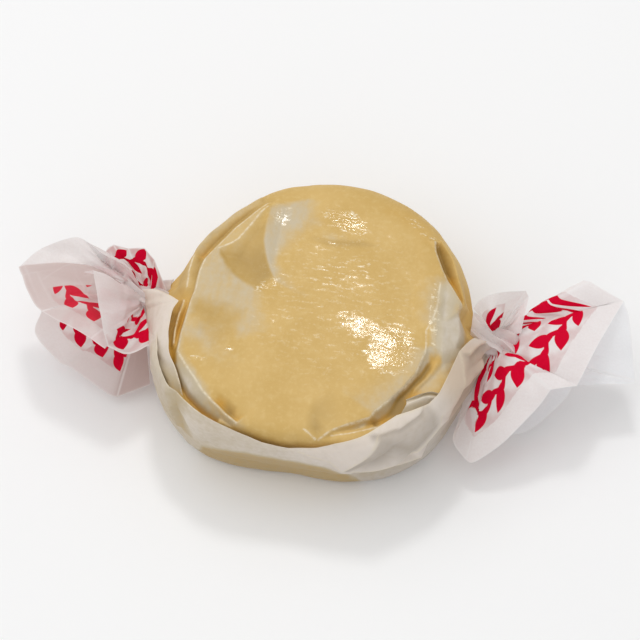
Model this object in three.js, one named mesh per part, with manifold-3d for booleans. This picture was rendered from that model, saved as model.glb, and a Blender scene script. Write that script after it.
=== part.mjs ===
// Maple taffy: a soft round sweet, rolled up in one sheet of waxed paper with both ends twisted shut.
// Millimetres, +Z up, +X along the twists. The origin is the middle of the face that the sweet rests on.
import * as THREE from "three";
import { mergeVertices } from "three/addons/utils/BufferGeometryUtils.js";
import Module from "manifold-3d";

// Driving dimensions
const TAFFY_RADIUS = 14.2;
const TAFFY_HALF_HEIGHT = 5;
const TAFFY_SQUARENESS = 4.5; // power of the rounded outline: 2 is an ellipse, and higher is boxier
const PAPER_THICKNESS = 0.3; // the crinkled sheet with its small folds, taken as one layer
const AIR_GAP = 0.3; // between the sweet and the paper
const LAP_GAP = 0.2; // between the sheet's two overlapping edges
const BAND_LOOSENESS = 0.8; // how far the sheet's outer edge stands off along the front
const TWIST_REACH = 16; // from the middle of the sweet to the middle of each twist
const TWIST_BACK = 0.9; // the twists sit a little behind the middle
const TAPER_DEG = 42; // the paper starts to run out to a twist this far from the twist's own line
const TAPER_POWER = 1.5; // the higher it is, the later and the more sharply the paper runs out

// The pleated rope of paper in each twist
const ROPE_PLEATS = 7;
const ROPE_PLEAT_DEPTH = 0.16; // as a share of the rope's radius
const ROPE_OVERLAP = 1.2; // how far back from the middle of the twist the rope starts
const ROPE_LENGTH = 3.2;
const ROPE_RADIUS = 2.5;
const ROPE_NARROWING = 0.9; // how much the waist takes off the radius
const ROPE_WAIST_PACE = 1.2; // the waist is over when this many times the share of the length is 1
const ROPE_TURN_DEG = 100; // from one end of the rope to the other

// The sweet isn't quite round in plan. Angles are 0 at +X and 90 at the back. It swells or shrinks a little
// about some of them, and is pressed flat, at a distance from the middle, across others.
const SWELLS = [
  { angle: 8, width: 34, change: -0.5 },
  { angle: 72, width: 50, change: 0.5 },
  { angle: 222, width: 44, change: 1.2 },
  { angle: 318, width: 30, change: 0.4 },
];
const FLATS = [
  { angle: 147, distance: 12.8 },
  { angle: 268, distance: 13.2 },
];
const FLAT_CRISPNESS = 24; // the higher it is, the sharper the corners at a flat's two ends

// Sizes that follow from them
const PAPER_OFFSET = AIR_GAP + PAPER_THICKNESS;
const PAPER_RADIUS = TAFFY_RADIUS + PAPER_OFFSET;
const PAPER_HALF_HEIGHT = TAFFY_HALF_HEIGHT + PAPER_OFFSET;
const MIDDLE = new THREE.Vector3(0, 0, PAPER_HALF_HEIGHT);
const FLATTENING = 0.25; // how much of the round underside is pressed flat

// The sheet's two long edges lie on the front, one above the other. Angles run round X: 0 is the front, and
// 90 the top.
const INNER_EDGE_DEG = -15;
const OUTER_EDGE_DEG = 386;
const OUTER_EDGE_RISE_DEG = 58; // how much higher the outer edge climbs beside each twist
const OUTER_EDGE_RISE_POWER = 2.5; // the higher it is, the closer to the twists the edge climbs
const OVERLAP_RAMP_DEG = 14;
const POLE_DEG = 9; // where the rolled sheet ends, inside each twist

// Folds of the top sheet, each a straight ridge from one place to another in plan, highest on its line.
// It falls away to nothing over the inner distance towards the middle, and over the outer distance away
// from it. Folds start at one height above the sweet's middle, and are whole from another.
const FOLDS_START = 3.4;
const FOLDS_WHOLE = 4.6;
const TOP_FOLDS = [
  { from: [-2.8, 12.6], to: [-6.5, 10.8], rise: 0.5, inner: 3.0, outer: 1.2 },
  { from: [-6.5, 10.8], to: [-10.6, 5.2], rise: 0.8, inner: 3.2, outer: 0.8 },
  { from: [-10.6, 5.2], to: [-12.5, 3.0], rise: 0.8, inner: 2.6, outer: 0.8 },
  { from: [-12.5, 3.0], to: [-12.6, -6.0], rise: 0.7, inner: 2.4, outer: 1.2 },
  { from: [-12.6, -6.0], to: [-8.6, -11.0], rise: 0.5, inner: 2.0, outer: 1.0 },
  { from: [-8.6, -11.0], to: [-5.8, -12.8], rise: 0.45, inner: 1.8, outer: 1.0 },
  { from: [1.7, -13.0], to: [0.9, -10.0], rise: 0.4, inner: 1.4, outer: 1.4 },
  { from: [6.6, -11.6], to: [9.3, -8.6], rise: 0.5, inner: 1.8, outer: 1.0 },
  { from: [9.3, -8.6], to: [12.2, -4.2], rise: 0.6, inner: 2.0, outer: 1.0 },
  { from: [10.3, 9.0], to: [11.4, 4.0], rise: 0.6, inner: 2.2, outer: 1.0 },
  { from: [11.4, 4.0], to: [10.4, -1.2], rise: 0.55, inner: 2.2, outer: 1.2 },
  { from: [-4.5, 2.1], to: [-5.8, 4.8], rise: 0.3, inner: 1.4, outer: 1.6 },
  { from: [-5.8, 4.8], to: [-6.4, 10.4], rise: 0.4, inner: 1.6, outer: 1.8 },
];

// Loose pleats of the side paper, each a bulge round the side at an angle in plan (0 is +X, 90 is the back).
// They show where a direction from the middle is sideways by a share, and not low on the front, which the
// sheet's outer edge covers.
const PLEATS_START = 0.75;
const PLEATS_WHOLE = 0.95;
const COVERED_FRONT_DEG = 50;
const CLEAR_TOP_DEG = 90;
const SIDE_PLEATS = [
  { angle: 24, width: 15, bulge: 0.4 },
  { angle: 176, width: 12, bulge: 0.5 },
  { angle: 207, width: 14, bulge: 0.5 },
  { angle: 298, width: 26, bulge: 0.6 },
  { angle: 322, width: 10, bulge: 0.4 },
  { angle: 344, width: 10, bulge: 0.4 },
];

// Each twist opens into flat leaves of paper. A leaf runs through ribs that all start in the twist. The swing
// of a rib is its turn from the twist's own axis towards the back, its lift is its slope, and its reach is
// its length.
const LEFT_LEAVES = [
  { ribs: [[20, 40, 7.6], [32, 54, 8.4], [66, 66, 7.6], [120, 66, 5.4]] },
  {
    ribs: [
      [14, 48, 9.0], [17, 38, 11.0], [8, 24, 12.6], [3, 12, 13.6],
      [-12, 16, 12.6], [-24, 20, 11.6], [-42, 24, 9.4],
    ],
  },
  { ribs: [[-10, 54, 9.6], [-36, 52, 9.6], [-62, 42, 10.2], [-76, 24, 8.8], [-92, 16, 6.4]] },
  {
    ribs: [
      [-10, 0, 10.6], [-20, -7, 11.8], [-34, -15, 10.8],
      [-52, -20, 9.8], [-72, -24, 9.6], [-95, -26, 7.6],
    ],
  },
];
const RIGHT_LEAVES = [
  { ribs: [[128, 62, 5.4], [70, 68, 7.4], [46, 58, 8.0], [39, 49, 7.8], [8, 38, 4.8]] },
  {
    ribs: [
      [36, 20, 11.6], [28, 17, 12.8], [22, 12, 14.3], [0, 17, 11.4],
      [-31, 18, 9.4], [-62, 2, 9.6], [-89, -13, 11.6], [-101, -9, 9.8],
    ],
  },
  {
    ribs: [
      [34, 13, 11.8], [20, 7, 14.4], [6, 3, 14.6], [-7, -1, 15.0],
      [-16, -10, 10.8], [-36, -24, 9.2], [-64, -27, 9.2], [-82, -22, 8.2],
    ],
  },
];

// Mesh fineness
const TAFFY_SIDES = 40;
const TAFFY_RINGS = 20;
const SHEET_COLUMNS = 30;
const SHEET_ROWS = 48;
const LEAF_STEPS_PER_RIB = 2;
const LEAF_ROWS = 3;
const LEAF_START = 0.12; // the share of each rib that is buried in the twist
const ROPE_SIDES_PER_PLEAT = 4;
const ROPE_STEPS = 6;
const WELD_DISTANCE = 1e-4; // points closer than this are one point
const LEAST_LENGTH = 1e-9; // keeps a division safe at the middle of the top and of the underside

const wasm = await Module();
wasm.setup();

const radians = THREE.MathUtils.degToRad;

// A value that eases from 0 to 1 as x goes from low to high.
function ease(x, low, high) {
  return THREE.MathUtils.smoothstep(x, low, high);
}

// The turn between two angles in plan, in degrees without a sign.
function turnBetween(a, b) {
  return Math.abs(THREE.MathUtils.euclideanModulo(a - b + 180, 360) - 180);
}

// A direction's angle in plan, in degrees.
function planAngle(direction) {
  return THREE.MathUtils.radToDeg(Math.atan2(direction.y, direction.x));
}

// The sweet's radius at an angle in plan.
function taffyRadius(angleDeg) {
  let radius = TAFFY_RADIUS;
  for (const { angle, width, change } of SWELLS) {
    const share = Math.min(turnBetween(angleDeg, angle) / width, 1);
    radius += change * (0.5 + 0.5 * Math.cos(Math.PI * share));
  }
  let nearness = radius ** -FLAT_CRISPNESS;
  for (const { angle, distance } of FLATS) {
    const facing = Math.max(Math.cos(radians(turnBetween(angleDeg, angle))), 0);
    nearness += (facing / distance) ** FLAT_CRISPNESS;
  }
  return nearness ** (-1 / FLAT_CRISPNESS);
}

// How far a rounded disc reaches from its middle along a direction.
function discReach(direction, radius, halfHeight) {
  const across = Math.hypot(direction.x, direction.y) / radius;
  const up = Math.abs(direction.z) / halfHeight;
  return (across ** TAFFY_SQUARENESS + up ** TAFFY_SQUARENESS) ** (-1 / TAFFY_SQUARENESS);
}

// The way that a rounded disc's surface faces, where a direction from its middle meets it.
function discNormal(direction, radius, halfHeight) {
  const flat = Math.hypot(direction.x, direction.y);
  const across = (flat / radius) ** (TAFFY_SQUARENESS - 1) / radius / Math.max(flat, LEAST_LENGTH);
  const up = (Math.abs(direction.z) / halfHeight) ** (TAFFY_SQUARENESS - 1) / halfHeight;
  const slope = Math.sign(direction.z) * up;
  return new THREE.Vector3(direction.x * across, direction.y * across, slope).normalize();
}

// A direction from the sweet's middle, by its angle from the left twist and its angle round X.
function wrapDirection(fromLeft, round) {
  const width = TAFFY_RADIUS * Math.sin(fromLeft);
  return new THREE.Vector3(
    -TAFFY_RADIUS * Math.cos(fromLeft),
    -width * Math.cos(round),
    TAFFY_HALF_HEIGHT * Math.sin(fromLeft) * Math.sin(round),
  ).normalize();
}

// A three.js geometry as a closed solid that can be joined.
function solidOf(geometry) {
  const bare = new THREE.BufferGeometry().setAttribute("position", geometry.getAttribute("position"));
  if (geometry.index) bare.setIndex(geometry.index);
  const merged = mergeVertices(bare, WELD_DISTANCE);
  return new wasm.Manifold(
    new wasm.Mesh({
      numProp: 3,
      vertProperties: new Float32Array(merged.attributes.position.array),
      triVerts: new Uint32Array(merged.index.array),
    }),
  );
}

// A closed solid as a three.js geometry.
function geometryOf(solid) {
  const mesh = solid.getMesh();
  const geometry = new THREE.BufferGeometry();
  geometry.setAttribute("position", new THREE.BufferAttribute(mesh.vertProperties, 3));
  geometry.setIndex(new THREE.BufferAttribute(mesh.triVerts, 1));
  geometry.computeVertexNormals();
  return geometry;
}

// A thin closed sheet between two grids of points that have the same columns and rows.
function sheetGeometry(outer, inner) {
  const columns = outer.length;
  const rows = outer[0].length;
  const points = [...outer.flat(), ...inner.flat()];
  const at = (side, column, row) => side * columns * rows + column * rows + row;
  const triangles = [];
  const quad = (a, b, c, d) => triangles.push(a, b, c, a, c, d);
  for (let i = 0; i + 1 < columns; i++) {
    for (let j = 0; j + 1 < rows; j++) {
      quad(at(0, i, j), at(0, i + 1, j), at(0, i + 1, j + 1), at(0, i, j + 1));
      quad(at(1, i, j), at(1, i, j + 1), at(1, i + 1, j + 1), at(1, i + 1, j));
    }
  }
  for (let i = 0; i + 1 < columns; i++) {
    quad(at(0, i, 0), at(1, i, 0), at(1, i + 1, 0), at(0, i + 1, 0));
    quad(at(0, i, rows - 1), at(0, i + 1, rows - 1), at(1, i + 1, rows - 1), at(1, i, rows - 1));
  }
  for (let j = 0; j + 1 < rows; j++) {
    quad(at(0, 0, j), at(0, 0, j + 1), at(1, 0, j + 1), at(1, 0, j));
    const last = columns - 1;
    quad(at(0, last, j), at(1, last, j), at(1, last, j + 1), at(0, last, j + 1));
  }
  return new THREE.BufferGeometry().setFromPoints(points).setIndex(triangles);
}

// The soft round sweet, flattened where it rests
function taffyGeometry() {
  const geometry = new THREE.SphereGeometry(1, TAFFY_SIDES, TAFFY_RINGS).rotateX(Math.PI / 2);
  const position = geometry.getAttribute("position");
  const floor = MIDDLE.z - TAFFY_HALF_HEIGHT;
  const size = new THREE.Vector3(TAFFY_RADIUS, TAFFY_RADIUS, TAFFY_HALF_HEIGHT);
  for (let i = 0; i < position.count; i++) {
    const direction = new THREE.Vector3().fromBufferAttribute(position, i).multiply(size).normalize();
    const below = direction.z < 0 ? FLATTENING : 0;
    const reach = discReach(direction, taffyRadius(planAngle(direction)), TAFFY_HALF_HEIGHT + below);
    const place = direction.multiplyScalar(reach).add(MIDDLE);
    position.setXYZ(i, place.x, place.y, Math.max(place.z, floor));
  }
  return geometry;
}

// How high the folds of the top sheet stand at a place in plan.
function foldHeight(x, y) {
  let highest = 0;
  for (const { from, to, rise, inner, outer } of TOP_FOLDS) {
    const along = [to[0] - from[0], to[1] - from[1]];
    const length = Math.hypot(...along);
    const share = ((x - from[0]) * along[0] + (y - from[1]) * along[1]) / length ** 2;
    const nearest = THREE.MathUtils.clamp(share, 0, 1);
    const foot = [from[0] + along[0] * nearest, from[1] + along[1] * nearest];
    const distance = Math.hypot(x - foot[0], y - foot[1]);
    const outside = Math.hypot(x, y) > Math.hypot(...foot);
    highest = Math.max(highest, rise * (1 - distance / (outside ? outer : inner)));
  }
  return highest;
}

// How far the side paper stands off at an angle in plan.
function sideSlack(angleDeg) {
  let slack = 0;
  for (const { angle, width, bulge } of SIDE_PLEATS) {
    slack += bulge * Math.max(0, 1 - turnBetween(angleDeg, angle) / width);
  }
  return slack;
}

// How far the overlapping outer end of the sheet is lifted off the layer beneath it.
function overlapLift(roundDeg) {
  const covered = INNER_EDGE_DEG + 360;
  const over = ease(roundDeg, covered - OVERLAP_RAMP_DEG, covered);
  return over * (PAPER_THICKNESS + LAP_GAP) + BAND_LOOSENESS * ease(roundDeg, covered, OUTER_EDGE_DEG);
}

// The two faces of the rolled sheet at one of its places.
function sheetPoint(fromLeft, roundDeg) {
  const direction = wrapDirection(fromLeft, radians(roundDeg));
  const angleDeg = planAngle(direction);
  const sideways = ease(Math.hypot(direction.x, direction.y), PLEATS_START, PLEATS_WHOLE);
  const uncovered = ease(roundDeg, COVERED_FRONT_DEG, CLEAR_TOP_DEG);
  const slack = sideSlack(angleDeg) * sideways * uncovered;
  const radius = taffyRadius(angleDeg) + PAPER_OFFSET + slack + overlapLift(roundDeg);
  const halfHeight = PAPER_HALF_HEIGHT + (direction.z < 0 ? FLATTENING : 0);
  const reach = discReach(direction, radius, halfHeight);
  const place = direction.clone().multiplyScalar(reach).add(MIDDLE);
  const normal = discNormal(direction, radius, halfHeight);
  if (roundDeg < 180 && direction.z > 0) {
    const top = ease(direction.z * reach, FOLDS_START, FOLDS_WHOLE);
    place.addScaledVector(normal, foldHeight(place.x, place.y) * top);
  }
  const axis = Math.sign(direction.x);
  const offAxis = THREE.MathUtils.radToDeg(Math.acos(Math.abs(direction.x)));
  const taper = Math.max(0, 1 - offAxis / TAPER_DEG) ** TAPER_POWER;
  place.x += axis * taper * (TWIST_REACH - PAPER_RADIUS);
  place.y += taper * TWIST_BACK;
  const inside = place.clone().addScaledVector(normal, -PAPER_THICKNESS);
  place.z = Math.max(place.z, 0);
  inside.z = Math.max(inside.z, PAPER_THICKNESS);
  return { place, inside };
}

// The sheet rolled round the sweet: over the top from the front, under it, and up the front outside itself
function rolledSheet() {
  const outer = [];
  const inner = [];
  for (let i = 0; i <= SHEET_COLUMNS; i++) {
    const fromLeft = radians(THREE.MathUtils.lerp(POLE_DEG, 180 - POLE_DEG, i / SHEET_COLUMNS));
    const beside = Math.abs(Math.cos(fromLeft)) ** OUTER_EDGE_RISE_POWER;
    const lastDeg = OUTER_EDGE_DEG + OUTER_EDGE_RISE_DEG * beside;
    const column = [];
    for (let j = 0; j <= SHEET_ROWS; j++) {
      const roundDeg = THREE.MathUtils.lerp(INNER_EDGE_DEG, lastDeg, j / SHEET_ROWS);
      column.push(sheetPoint(fromLeft, roundDeg));
    }
    outer.push(column.map(({ place }) => place));
    inner.push(column.map(({ inside }) => inside));
  }
  return sheetGeometry(outer, inner);
}

// The pleated rope of paper in a twist: a star section that turns and narrows on its way out
function twistRope(side) {
  const sides = ROPE_PLEATS * ROPE_SIDES_PER_PLEAT;
  const star = new THREE.Shape();
  for (let k = 0; k < sides; k++) {
    const turn = (k / sides) * 2 * Math.PI;
    const ripple = 1 + ROPE_PLEAT_DEPTH * Math.cos(turn * ROPE_PLEATS);
    const corner = [ripple * Math.cos(turn), ripple * Math.sin(turn)];
    if (k === 0) star.moveTo(...corner);
    else star.lineTo(...corner);
  }
  const geometry = new THREE.ExtrudeGeometry(star, {
    depth: ROPE_LENGTH,
    steps: ROPE_STEPS,
    bevelEnabled: false,
  });
  const position = geometry.getAttribute("position");
  for (let i = 0; i < position.count; i++) {
    const share = position.getZ(i) / ROPE_LENGTH;
    const waist = Math.sin(Math.PI * Math.min(share * ROPE_WAIST_PACE, 1));
    const radius = ROPE_RADIUS - ROPE_NARROWING * waist;
    const turn = share * radians(ROPE_TURN_DEG);
    const x = position.getX(i) * radius;
    const y = position.getY(i) * radius;
    position.setX(i, x * Math.cos(turn) - y * Math.sin(turn));
    position.setY(i, x * Math.sin(turn) + y * Math.cos(turn));
  }
  geometry.translate(0, 0, TWIST_REACH - ROPE_OVERLAP).rotateY((side * Math.PI) / 2);
  return geometry.translate(0, TWIST_BACK, MIDDLE.z);
}

// One leaf of paper that opens from a twist
function leafGeometry(side, { ribs }) {
  const root = new THREE.Vector3(side * TWIST_REACH, TWIST_BACK, MIDDLE.z);
  const ends = ribs.map(([swing, lift, reach]) => {
    const flat = reach * Math.cos(radians(lift));
    return new THREE.Vector3(
      side * flat * Math.cos(radians(swing)),
      flat * Math.sin(radians(swing)),
      reach * Math.sin(radians(lift)),
    );
  });
  const edge = new THREE.CatmullRomCurve3(ends, false, "centripetal");
  const steps = (ribs.length - 1) * LEAF_STEPS_PER_RIB;
  const front = [];
  const back = [];
  for (let i = 0; i <= steps; i++) {
    const end = edge.getPoint(i / steps);
    const facing = edge.getTangent(i / steps).cross(end).normalize();
    const normal = facing.multiplyScalar(PAPER_THICKNESS / 2);
    const along = [];
    for (let j = 0; j <= LEAF_ROWS; j++) {
      const share = THREE.MathUtils.lerp(LEAF_START, 1, j / LEAF_ROWS);
      along.push(root.clone().addScaledVector(end, share));
    }
    front.push(along.map((place) => place.clone().add(normal)));
    back.push(along.map((place) => place.clone().sub(normal)));
  }
  return sheetGeometry(front, back);
}

// The whole wrapper is one sheet of paper, so its rolled middle, ropes and leaves are one solid. Specks of air
// that are shut in between the leaves of a twist are filled.
function wrapperGeometry() {
  let wrapper = solidOf(rolledSheet());
  for (const [side, leaves] of [[-1, LEFT_LEAVES], [1, RIGHT_LEAVES]]) {
    wrapper = wrapper.add(solidOf(twistRope(side)));
    for (const leaf of leaves) wrapper = wrapper.add(solidOf(leafGeometry(side, leaf)));
  }
  const bodies = wrapper.decompose();
  const paper = bodies.reduce((a, b) => (b.volume() > a.volume() ? b : a));
  return geometryOf(paper);
}

// A named piece with its own finish
function piece(name, geometry, finish) {
  const mesh = new THREE.Mesh(geometry, new THREE.MeshStandardMaterial(finish));
  mesh.name = name;
  return mesh;
}

const sweet = new THREE.Group();
sweet.add(piece("taffy", taffyGeometry(), { color: 0xd9b776, roughness: 0.5, metalness: 0 }));
sweet.add(piece("wrapper", wrapperGeometry(), { color: 0xe9e1da, roughness: 0.4, metalness: 0 }));

export default sweet;
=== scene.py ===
# %% [markdown]
# # A maple taffy in a twist of waxed paper
# The sweet is a soft round disc, rolled up in one sheet of thin waxed paper. The two ends of the paper are
# twisted shut and spread into fans. The CAD model comes first, as a fixed frame: every piece made here
# takes its place from it, so nothing has to be fitted by eye afterwards.

# %% Load the frame
import math

import bpy
import numpy as np
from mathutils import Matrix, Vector
from mathutils.geometry import delaunay_2d_cdt


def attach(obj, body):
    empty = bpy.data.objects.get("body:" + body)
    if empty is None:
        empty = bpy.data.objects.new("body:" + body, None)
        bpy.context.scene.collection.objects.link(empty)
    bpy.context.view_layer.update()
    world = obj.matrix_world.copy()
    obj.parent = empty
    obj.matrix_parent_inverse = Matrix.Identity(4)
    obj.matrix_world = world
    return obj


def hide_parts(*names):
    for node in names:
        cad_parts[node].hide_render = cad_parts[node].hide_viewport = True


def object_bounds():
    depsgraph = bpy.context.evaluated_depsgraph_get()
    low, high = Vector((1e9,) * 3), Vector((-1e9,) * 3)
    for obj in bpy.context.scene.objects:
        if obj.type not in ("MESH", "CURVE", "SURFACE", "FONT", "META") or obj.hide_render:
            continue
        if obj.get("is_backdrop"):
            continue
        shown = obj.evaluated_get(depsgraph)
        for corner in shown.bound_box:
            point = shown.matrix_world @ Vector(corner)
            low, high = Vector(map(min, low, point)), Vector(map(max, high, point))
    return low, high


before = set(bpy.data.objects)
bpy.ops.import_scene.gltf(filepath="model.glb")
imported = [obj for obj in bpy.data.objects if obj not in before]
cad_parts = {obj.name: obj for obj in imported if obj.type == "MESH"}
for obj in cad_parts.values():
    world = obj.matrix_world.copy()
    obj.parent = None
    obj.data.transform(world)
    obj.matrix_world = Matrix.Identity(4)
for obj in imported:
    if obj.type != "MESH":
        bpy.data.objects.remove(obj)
cad_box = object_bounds()
print("CAD nodes:", sorted(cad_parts))

# %% [markdown]
# ## Measuring the sweet
# The paper clings to the sweet, so the sweet's own shape is the mould for the paper. Its height comes from
# the CAD node's box, and its outline in plan from the ring of points at half its height. Millimetres are
# easier to read than metres, so everything is worked out in millimetres and turned into metres when a mesh
# is filled in.

# %% Measure the sweet
MM = 0.001
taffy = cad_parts["taffy"]
taffy_points = np.array([point.co for point in taffy.data.vertices]) / MM
taffy_low = taffy_points.min(axis=0)
taffy_high = taffy_points.max(axis=0)
TAFFY_HALF_HEIGHT = (taffy_high[2] - taffy_low[2]) / 2
MIDDLE_HEIGHT = (taffy_high[2] + taffy_low[2]) / 2
RING_TOLERANCE = 0.05
ring = taffy_points[np.abs(taffy_points[:, 2] - MIDDLE_HEIGHT) < RING_TOLERANCE]
ring_angles = np.degrees(np.arctan2(ring[:, 1], ring[:, 0]))
ring_radii = np.hypot(ring[:, 0], ring[:, 1])
TAFFY_RADIUS = float(np.mean(ring_radii))
print(f"The sweet is {TAFFY_RADIUS:.1f} mm in radius and {2 * TAFFY_HALF_HEIGHT:.1f} mm thick")


# %% [markdown]
# ## Small helpers for sheets of paper
# All of the paper starts as a flat grid, as cut from the roll, and is then bent into place. A grid of
# points is the natural start for a sheet: its two directions stay known after the bending, so folds and
# printing can follow them.

# %% Helpers for sheets
def ease(value, low, high):
    """0 below low, 1 above high, and a smooth step between them."""
    share = np.clip((value - low) / (high - low), 0, 1)
    return share * share * (3 - 2 * share)


def flat_sheet(name, columns, rows):
    """A flat grid of paper, and the place of each of its points across and along it, from 0 to 1."""
    bpy.ops.object.select_all(action="DESELECT")
    bpy.ops.mesh.primitive_grid_add(x_subdivisions=columns, y_subdivisions=rows, size=1)
    sheet = bpy.context.object
    sheet.name = name
    sheet.data.name = name
    places = np.empty(3 * len(sheet.data.vertices))
    sheet.data.vertices.foreach_get("co", places)
    across, along = places.reshape(-1, 3)[:, :2].T + 0.5
    return sheet, across, along


def bend_sheet(sheet, places):
    """Moves the sheet's points to their places in millimetres, and shades it smooth."""
    sheet.data.vertices.foreach_set("co", (places * MM).ravel())
    sheet.data.update()
    bpy.ops.object.select_all(action="DESELECT")
    sheet.select_set(True)
    bpy.context.view_layer.objects.active = sheet
    bpy.ops.object.shade_smooth()


def paint_sheet(sheet, layer, values):
    """Keeps one number for each point of the sheet, for its material to read."""
    attribute = sheet.data.attributes.new(layer, "FLOAT", "POINT")
    attribute.data.foreach_set("value", np.asarray(values, dtype=np.float32))


def curve_through(ends, folds, share):
    """A curve through rows of numbers, the first at 0 and the last at 1, with sharp turns at the folds."""
    ends = np.asarray(ends, dtype=float)
    last = len(ends) - 1
    run = np.clip(share * last, 0, last - 1e-9)
    index = run.astype(int)
    part = (run - index)[:, None]
    slopes = np.gradient(ends, axis=0)
    chords = np.diff(ends, axis=0)
    leaving = np.where(np.asarray(folds)[:, None], np.vstack([chords, chords[-1:]]), slopes)
    arriving = np.where(np.asarray(folds)[:, None], np.vstack([chords[:1], chords]), slopes)
    start, stop = ends[index], ends[index + 1]
    return (
        (2 * part**3 - 3 * part**2 + 1) * start
        + (part**3 - 2 * part**2 + part) * leaving[index]
        + (3 * part**2 - 2 * part**3) * stop
        + (part**3 - part**2) * arriving[index + 1]
    )


def finish_sheet(sheet, material):
    """Gives the sheet its material, hangs it under the frame's root, and hides the CAD wrapper."""
    sheet.data.materials.clear()
    sheet.data.materials.append(material)
    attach(sheet, "root")
    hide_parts("wrapper")
    print(f"{sheet.name}: {len(sheet.data.polygons)} faces")


# %% [markdown]
# ## Writing shader maths as Python
# A material's nodes are easier to read as an expression than as a heap of links. A Wire is one value in the
# node tree, and Python's own operators on it add the Math nodes. A Finish is one material with a single
# method for any other kind of node.

# %% Wires and finishes
class Wire:
    """A value that runs through a material's nodes."""

    def __init__(self, finish, socket):
        self.finish = finish
        self.socket = socket

    def maths(self, operation, *values):
        return self.finish.add("ShaderNodeMath", {"operation": operation}, dict(enumerate(values)))

    def __add__(self, other):
        return self.maths("ADD", self, other)

    def __radd__(self, other):
        return self.maths("ADD", other, self)

    def __sub__(self, other):
        return self.maths("SUBTRACT", self, other)

    def __rsub__(self, other):
        return self.maths("SUBTRACT", other, self)

    def __mul__(self, other):
        return self.maths("MULTIPLY", self, other)

    def __rmul__(self, other):
        return self.maths("MULTIPLY", other, self)

    def __truediv__(self, other):
        return self.maths("DIVIDE", self, other)

    def __abs__(self):
        return self.maths("ABSOLUTE", self)

    def sine(self):
        return self.maths("SINE", self)

    def most(self, other):
        return self.maths("MAXIMUM", self, other)

    def repeat(self, length):
        return self.maths("MODULO", self, length)

    def step(self, low, high):
        """0 below low, 1 above high, and a smooth step between them; it falls where low is above high."""
        settings = {"interpolation_type": "SMOOTHSTEP"}
        if low < high:
            return self.finish.add("ShaderNodeMapRange", settings, {0: self, 1: low, 2: high})
        return self.finish.add("ShaderNodeMapRange", settings, {0: self, 1: high, 2: low, 3: 1.0, 4: 0.0})


class Finish:
    """One procedural material, and the means to add nodes to it."""

    def __init__(self, name):
        self.material = bpy.data.materials.new(name)
        self.material.use_nodes = True
        self.tree = self.material.node_tree
        self.tree.nodes.clear()

    def add(self, kind, settings=None, sockets=None, output=0):
        node = self.tree.nodes.new(kind)
        for key, value in (settings or {}).items():
            setattr(node, key, value)
        for key, value in (sockets or {}).items():
            if isinstance(value, Wire):
                self.tree.links.new(value.socket, node.inputs[key])
            else:
                node.inputs[key].default_value = value
        return None if output is None else Wire(self, node.outputs[output])

    def layer(self, name):
        """What paint_sheet kept for each point."""
        return self.add("ShaderNodeAttribute", {"attribute_name": name}, output="Fac")

    def place(self):
        return self.add("ShaderNodeTexCoord", output="Object")

    def noise(self, place, scale, detail=2.0, output="Fac"):
        sockets = {"Vector": place, "Scale": scale, "Detail": detail}
        return self.add("ShaderNodeTexNoise", None, sockets, output)

    def stretched(self, place, scale):
        return self.add("ShaderNodeMapping", None, {"Vector": place, "Scale": scale})

    def blend(self, amount, first, second):
        """The first colour where amount is 0, and the second where it is 1."""
        return self.add("ShaderNodeMix", {"data_type": "RGBA"}, {0: amount, 6: first, 7: second}, 2)

    def bump(self, height, distance, strength=1.0):
        sockets = {"Height": height, "Distance": distance, "Strength": strength}
        return self.add("ShaderNodeBump", None, sockets)

    def show(self, shader):
        self.add("ShaderNodeOutputMaterial", None, {"Surface": shader}, None)


# %% [markdown]
# ## The taffy's own finish
# The taffy shows only through the paper, but it is a real solid and it stays in the model, so it gets a
# finish of its own: a dull, milky tan with the faint streaks that pulling leaves, and a soft waxy gloss.

# %% Finish of the taffy
TAFFY_DARK = (0.55, 0.36, 0.13, 1)
TAFFY_LIGHT = (0.68, 0.48, 0.21, 1)


def taffy_finish():
    finish = Finish("pulled_taffy")
    place = finish.place()
    streaks = finish.noise(finish.stretched(place, (60, 400, 400)), 1.0, 3.0)
    colour = finish.blend(streaks.step(0.3, 0.7), TAFFY_DARK, TAFFY_LIGHT)
    grain = finish.noise(place, 900.0)
    sockets = {
        "Base Color": colour,
        "Roughness": 0.35 + streaks * 0.2,
        "Normal": finish.bump(grain, 0.0001),
    }
    finish.show(finish.add("ShaderNodeBsdfPrincipled", None, sockets))
    return finish.material


taffy.data.materials.clear()
taffy.data.materials.append(taffy_finish())
print("Taffy: streaked, waxy tan")

# %% [markdown]
# ## Rolling the sheet round the sweet
# One sheet goes over the top from the front, round the back, under the sweet and up the front again, where
# its outer edge shows as a loose band. Each point of the flat grid has an angle from the left twist and an
# angle round the long axis, and the two angles give its place on a rounded disc that is a little larger
# than the sweet. Cloth simulation could do this too, but a formula puts each fold where the photograph has
# it, and gives the same result every time.

# %% Sizes of the roll
# How square the rounded disc is in section: 2 would be an ellipse.
SIDE_SQUARENESS = 4.5
FRONT_SQUARENESS = 9.0
BACK_SQUARENESS = 5.3
FACING_RANGE = (0, 0.8)
PAPER_RADIUS = 14.2
PAPER_OFFSET = 0.6
LAP_LIFT = 0.3
UNDER_FLATTENING = 0.25
TWIST_REACH = 16.0
TWIST_BACK = 0.9
TAPER_DEG = 42
TAPER_POWER = 1.3
PINCH = 0.5
PINCH_RANGE = (0.1, 0.75)
INNER_EDGE_DEG = -15
SPLIT_DEG = 185
OUTER_EDGE_DEG = 388
LAP_DEG = INNER_EDGE_DEG + 360
LAP_RAMP_DEG = 14
SEAM_DEG = 12

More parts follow.
